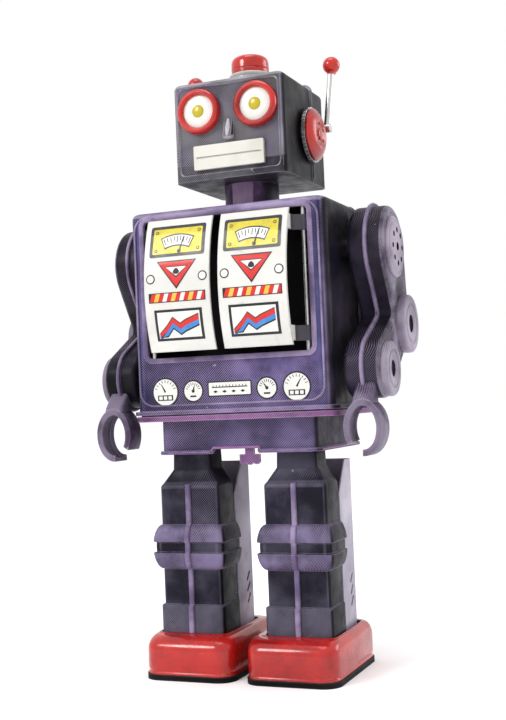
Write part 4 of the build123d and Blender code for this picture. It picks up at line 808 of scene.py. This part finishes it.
# ---------------------------------------------------------------- printed decoration
class Print:
    """Thin printed shapes on one sheet, gathered by ink colour. Points are (x, z) in millimetres."""

    def __init__(self, name, body, slot, surface, slices=()):
        self.name, self.body, self.slot = name, body, slot
        self.surface, self.slices = surface, slices
        self.sheets = {}

    def shape(self, colour, outline, lift):
        mesh = self.sheets.setdefault(colour, bmesh.new())
        fresh = bmesh.new()
        corners = [fresh.verts.new((x, 0, z)) for x, z in outline]
        fresh.faces.new(corners)
        for level in self.slices:
            bmesh.ops.bisect_plane(
                fresh, geom=fresh.verts[:] + fresh.edges[:] + fresh.faces[:],
                plane_co=(0, 0, level), plane_no=(0, 0, 1),
            )
        bmesh.ops.triangulate(fresh, faces=fresh.faces)
        back = 0.03
        made = bmesh.ops.extrude_face_region(fresh, geom=fresh.faces[:])
        behind = {v for v in made["geom"] if isinstance(v, bmesh.types.BMVert)}
        for vert in fresh.verts:
            depth = -back if vert in behind else lift
            vert.co = Vector((vert.co.x, self.surface(vert.co.x, vert.co.z) - depth, vert.co.z))
        data = bpy.data.meshes.new("fresh")
        fresh.to_mesh(data)
        fresh.free()
        mesh.from_mesh(data)
        bpy.data.meshes.remove(data)

    def box(self, colour, x, z, width, height, lift, corner=0.0):
        if corner:
            outline = []
            for cx, cz, start in ((1, 1, 0), (-1, 1, 90), (-1, -1, 180), (1, -1, 270)):
                for step in range(5):
                    angle = math.radians(start + 22.5 * step)
                    outline.append((x + cx * (width / 2 - corner) + corner * math.cos(angle),
                                    z + cz * (height / 2 - corner) + corner * math.sin(angle)))
        else:
            outline = [(x - width / 2, z - height / 2), (x + width / 2, z - height / 2),
                       (x + width / 2, z + height / 2), (x - width / 2, z + height / 2)]
        self.shape(colour, outline, lift)

    def disc(self, colour, x, z, radius, lift, steps=40):
        turn = 2 * math.pi / steps
        self.shape(colour, [(x + radius * math.cos(turn * i), z + radius * math.sin(turn * i))
                            for i in range(steps)], lift)

    def arc(self, colour, x, z, inner, outer, start, end, lift, steps=16):
        angles = [math.radians(start + (end - start) * i / steps) for i in range(steps + 1)]
        outline = [(x + outer * math.cos(a), z + outer * math.sin(a)) for a in angles]
        outline += [(x + inner * math.cos(a), z + inner * math.sin(a)) for a in reversed(angles)]
        self.shape(colour, outline, lift)

    def line(self, colour, x1, z1, x2, z2, width, lift, end_width=None):
        along = Vector((x2 - x1, z2 - z1)).normalized()
        near = Vector((-along.y, along.x)) * width / 2
        far = near if end_width is None else near * end_width / width
        self.shape(colour, [(x1 + near.x, z1 + near.y), (x1 - near.x, z1 - near.y),
                            (x2 - far.x, z2 - far.y), (x2 + far.x, z2 + far.y)], lift)

    def finish(self):
        for colour, mesh in self.sheets.items():
            piece(f"{self.name}_{colour}", mesh, INKS[colour], self.body, smooth=60)


def gauge_box(art, x, z):
    """Yellow meter window with a white curved scale, a needle and a screw in each corner."""
    art.box("black", x, z, 22.0, 11.6, 0.04, 0.8)
    art.box("yellow", x, z, 19.6, 9.4, 0.08, 0.5)
    pivot = z - 14.0
    art.arc("black", x, pivot, 12.0, 16.6, 66, 114, 0.12)
    art.arc("white", x, pivot, 12.5, 16.1, 67.5, 112.5, 0.16)
    for tick in range(9):
        angle = math.radians(70 + 5 * tick)
        inner = 14.0 if tick % 2 else 13.4
        art.line("black", x + inner * math.cos(angle), pivot + inner * math.sin(angle),
                 x + 15.7 * math.cos(angle), pivot + 15.7 * math.sin(angle), 0.34, 0.20)
    art.line("black", x + 1.0, z - 3.9, x + 2.6, z + 1.7, 0.55, 0.24, 0.2)
    art.disc("black", x + 0.9, z - 3.9, 0.7, 0.22, 16)
    for side_x in (-1, 1):
        for side_z in (-1, 1):
            art.disc("black", x + side_x * 8.4, z + side_z * 3.4, 0.62, 0.12, 16)
            art.disc("yellow", x + side_x * 8.4, z + side_z * 3.4, 0.36, 0.16, 16)


def red_triangle(art, x, z):
    """Red-edged triangle, point down, with a plain drop-shaped mark."""
    layers = (("black", 0.4, 0.04), ("red", 0.0, 0.08), ("black", -1.7, 0.12), ("white", -1.95, 0.16))
    for colour, grow, lift in layers:
        half, top, foot = 7.3 + 1.6 * grow, z + 4.5 + grow, z - 4.7 - 2.0 * grow
        art.shape(colour, [(x - half, top), (x, foot), (x + half, top)], lift)
    drop = [(x + 0.95 * math.cos(a) * (1.2 - 0.5 * math.sin(a)), z + 1.0 + 1.1 * math.sin(a))
            for a in (math.tau * i / 18 for i in range(18))]
    art.shape("black", drop, 0.20)


def striped_bar(art, x, z, lean):
    """Bar of slanted red, orange and white stripes inside a thin black edge."""
    width, height, stripes = 22.0, 2.9, 13
    art.box("black", x, z, width + 0.6, height + 0.6, 0.04)
    pitch = width / stripes
    for index in range(stripes):
        left = x - width / 2 + index * pitch
        corners = [(left, z - height / 2), (left + pitch, z - height / 2),
                   (left + pitch + lean, z + height / 2), (left + lean, z + height / 2)]
        bound_low, bound_high = x - width / 2, x + width / 2
        corners = [(min(max(cx, bound_low), bound_high), cz) for cx, cz in corners]
        if corners[1][0] - corners[0][0] > 0.05 and corners[2][0] - corners[3][0] > 0.05:
            art.shape(("red", "orange", "red", "white")[index % 4], corners, 0.09)


def line_chart(art, x, z):
    """Framed chart with a red band above a blue band, both zigzagging."""
    art.box("black", x, z, 19.0, 11.2, 0.04)
    art.box("white", x, z, 17.0, 9.4, 0.08)
    steps = [(-8.2, -3.2), (-4.9, -0.2), (-2.4, 2.6), (0.4, 0.3), (2.4, 1.4), (8.0, 3.4)]
    bands = (("black", 0.35, 4.5, 0.12), ("red", 0.0, 1.9, 0.16), ("blue", -1.9, 1.7, 0.18))
    for colour, drop, thick, lift in bands:
        for (x1, z1), (x2, z2) in zip(steps, steps[1:]):
            art.shape(colour, [(x + x1, z + z1 + drop), (x + x1, max(z + z1 + drop - thick, z - 4.4)),
                               (x + x2, max(z + z2 + drop - thick, z - 4.4)), (x + x2, z + z2 + drop)], lift)


def dial(art, x, z, radius, needle_deg, counter):
    """Round white gauge with ticks and a needle, and a small counter on the large ones."""
    art.disc("black", x, z, radius + 0.45, 0.05)
    art.disc("white", x, z, radius - 0.1, 0.10)
    for tick in range(9):
        angle = math.radians(20 + 17.5 * tick)
        art.line("black", x + (radius - 1.5) * math.cos(angle), z + (radius - 1.5) * math.sin(angle),
                 x + (radius - 0.5) * math.cos(angle), z + (radius - 0.5) * math.sin(angle), 0.22, 0.14)
    angle = math.radians(needle_deg)
    reach = radius - 1.6
    art.line("black", x, z, x + reach * math.cos(angle), z + reach * math.sin(angle), 0.7, 0.15, 0.2)
    if counter:
        art.box("black", x, z - 2.1, 6.2, 2.0, 0.16)
        for window in (-1, 0, 1):
            art.box("white", x + 1.9 * window, z - 2.1, 1.4, 1.3, 0.20)
    else:
        art.disc("black", x, z, 0.6, 0.17, 16)
        art.line("black", x - 1.2, z - 1.9, x + 1.2, z - 1.9, 0.6, 0.15)


# the doors bow forward: a circle through the top edge, the middle and the foot, as in the CAD
door_low, door_high = span("door_left")
DOOR_TOP, DOOR_FOOT = door_high.z, door_low.z
BOW = ((door_low.y + 5.5, DOOR_TOP), (door_low.y, 145.0), (door_low.y + 4.0, DOOR_FOOT))


def circle_through(first, second, third):
    """Centre and radius of the circle through three (y, z) points."""
    (ax, ay), (bx, by), (cx, cy) = first, second, third
    d = 2 * (ax * (by - cy) + bx * (cy - ay) + cx * (ay - by))
    a2, b2, c2 = ax * ax + ay * ay, bx * bx + by * by, cx * cx + cy * cy
    ux = (a2 * (by - cy) + b2 * (cy - ay) + c2 * (ay - by)) / d
    uy = (a2 * (cx - bx) + b2 * (ax - cx) + c2 * (bx - ax)) / d
    return ux, uy, math.hypot(ax - ux, ay - uy)


BOW_Y, BOW_Z, BOW_R = circle_through(*BOW)


def door_front(x, z):
    return BOW_Y - math.sqrt(BOW_R ** 2 - (z - BOW_Z) ** 2)


DOOR_MIDDLE, METER_Z, TRIANGLE_Z, SCREW_Z, BAR_Z, CHART_Z = 14.7, 160.3, 148.0, 146.6, 139.6, 129.6
PANEL_Z, SCALE_Z = 105.4, 105.8
levels = [DOOR_FOOT + (DOOR_TOP - DOOR_FOOT) * i / 24 for i in range(1, 24)]
for side, name in SIDES:
    art = Print(f"door_print_{name}", f"door_{name}", "door_tin", door_front, levels)
    middle = side * DOOR_MIDDLE
    gauge_box(art, middle, METER_Z)
    red_triangle(art, middle, TRIANGLE_Z)
    striped_bar(art, middle, BAR_Z, 1.0)
    line_chart(art, middle, CHART_Z)
    for screw_x in (-10.4, 10.4):
        art.disc("black", middle + screw_x, SCREW_Z, 1.75, 0.04, 24)
        art.disc("white", middle + screw_x, SCREW_Z, 1.35, 0.10, 24)
    art.finish()

panel = Print("panel_print", "body", "body_tin", lambda x, z: TORSO_FRONT)
for side in (-1, 1):
    dial(panel, side * 26.0, PANEL_Z, 5.0, 118 if side < 0 else 60, True)
    dial(panel, side * 14.6, PANEL_Z, 3.7, 75 if side < 0 else 125, False)
panel.box("black", 0, SCALE_Z, 17.4, 5.6, 0.05, 0.5)
panel.box("white", 0, SCALE_Z, 16.5, 4.7, 0.10, 0.3)
panel.line("black", -7, 106.4, 7, 106.4, 0.35, 0.14)
for tick in range(11):
    panel.line("black", -6.5 + 1.3 * tick, 106.4, -6.5 + 1.3 * tick, 107.2, 0.22, 0.14)
for mark in range(4):
    panel.shape("black", [(-5.6 + 3.6 * mark + dx, 104.8 + dz) for dx, dz in
                          ((-0.9, 0), (0, -0.5), (0.9, 0), (0, 0.5))], 0.14)
panel.finish()

# ---------------------------------------------------------------- floor, light and camera
def area_light(name, place, aim, size, power, tint=(1, 1, 1)):
    data = bpy.data.lights.new(name, "AREA")
    data.shape, data.size, data.energy, data.color = "DISK", size, power, tint
    lamp = bpy.data.objects.new(name, data)
    bpy.context.collection.objects.link(lamp)
    lamp.location = place
    lamp.rotation_euler = (Vector(aim) - Vector(place)).to_track_quat("-Z", "Y").to_euler()


floor_mesh = bmesh.new()
bmesh.ops.create_grid(floor_mesh, x_segments=2, y_segments=2, size=6.0)
floor_data = bpy.data.meshes.new("floor")
floor_mesh.to_mesh(floor_data)
floor = bpy.data.objects.new("floor", floor_data)
bpy.context.collection.objects.link(floor)
pale = Paint("floor_pale")
pale.set("Base Color", pale.mix(pale.noise(3.0), (0.88, 0.88, 0.88), (0.92, 0.92, 0.92)))
pale.set("Roughness", 0.95)
pale.set("Specular IOR Level", 0.0)
pale.set("Emission Color", (1.0, 1.0, 1.0, 1.0))
pale.set("Emission Strength", 0.12)
floor_data.materials.append(pale.material)

middle = Vector((0, 0, 0.12))
area_light("key", (-0.45, -0.75, 0.65), middle, 0.35, 3.5)
area_light("rim", (0.75, 0.55, 0.45), middle, 0.5, 2.0)
area_light("top", (0.0, -0.1, 0.95), middle, 0.5, 1.5)
world = bpy.data.worlds.new("studio")
world.use_nodes = True
world.node_tree.nodes["Background"].inputs["Color"].default_value = (1, 1, 1, 1)
world.node_tree.nodes["Background"].inputs["Strength"].default_value = 1.0
bpy.context.scene.world = world
bpy.context.scene.view_settings.view_transform = "Standard"
bpy.context.scene.view_settings.gamma = 0.88

VIEW_AZIMUTH, VIEW_DISTANCE, VIEW_ROLL = math.radians(22), 454.0 * MM, math.radians(-2.43)
eye = Vector((math.sin(VIEW_AZIMUTH) * VIEW_DISTANCE,
              -math.cos(VIEW_AZIMUTH) * VIEW_DISTANCE - 4.5 * MM, 101.5 * MM))
target = Vector((-2.0, -4.5, 116.65)) * MM
forward = (target - eye).normalized()
right = forward.cross(Vector((0, 0, 1))).normalized()
up = right.cross(forward)
rolled_right = right * math.cos(VIEW_ROLL) + up * math.sin(VIEW_ROLL)
rolled_up = up * math.cos(VIEW_ROLL) - right * math.sin(VIEW_ROLL)
camera_data = bpy.data.cameras.new("camera")
camera_data.sensor_width = 36
camera_data.lens = 58.8
camera_data.clip_start = 0.01
camera = bpy.data.objects.new("camera", camera_data)
turned_to = Matrix((rolled_right, rolled_up, -forward)).transposed().to_4x4()
camera.matrix_world = Matrix.Translation(eye) @ turned_to
bpy.context.collection.objects.link(camera)
bpy.context.scene.camera = camera
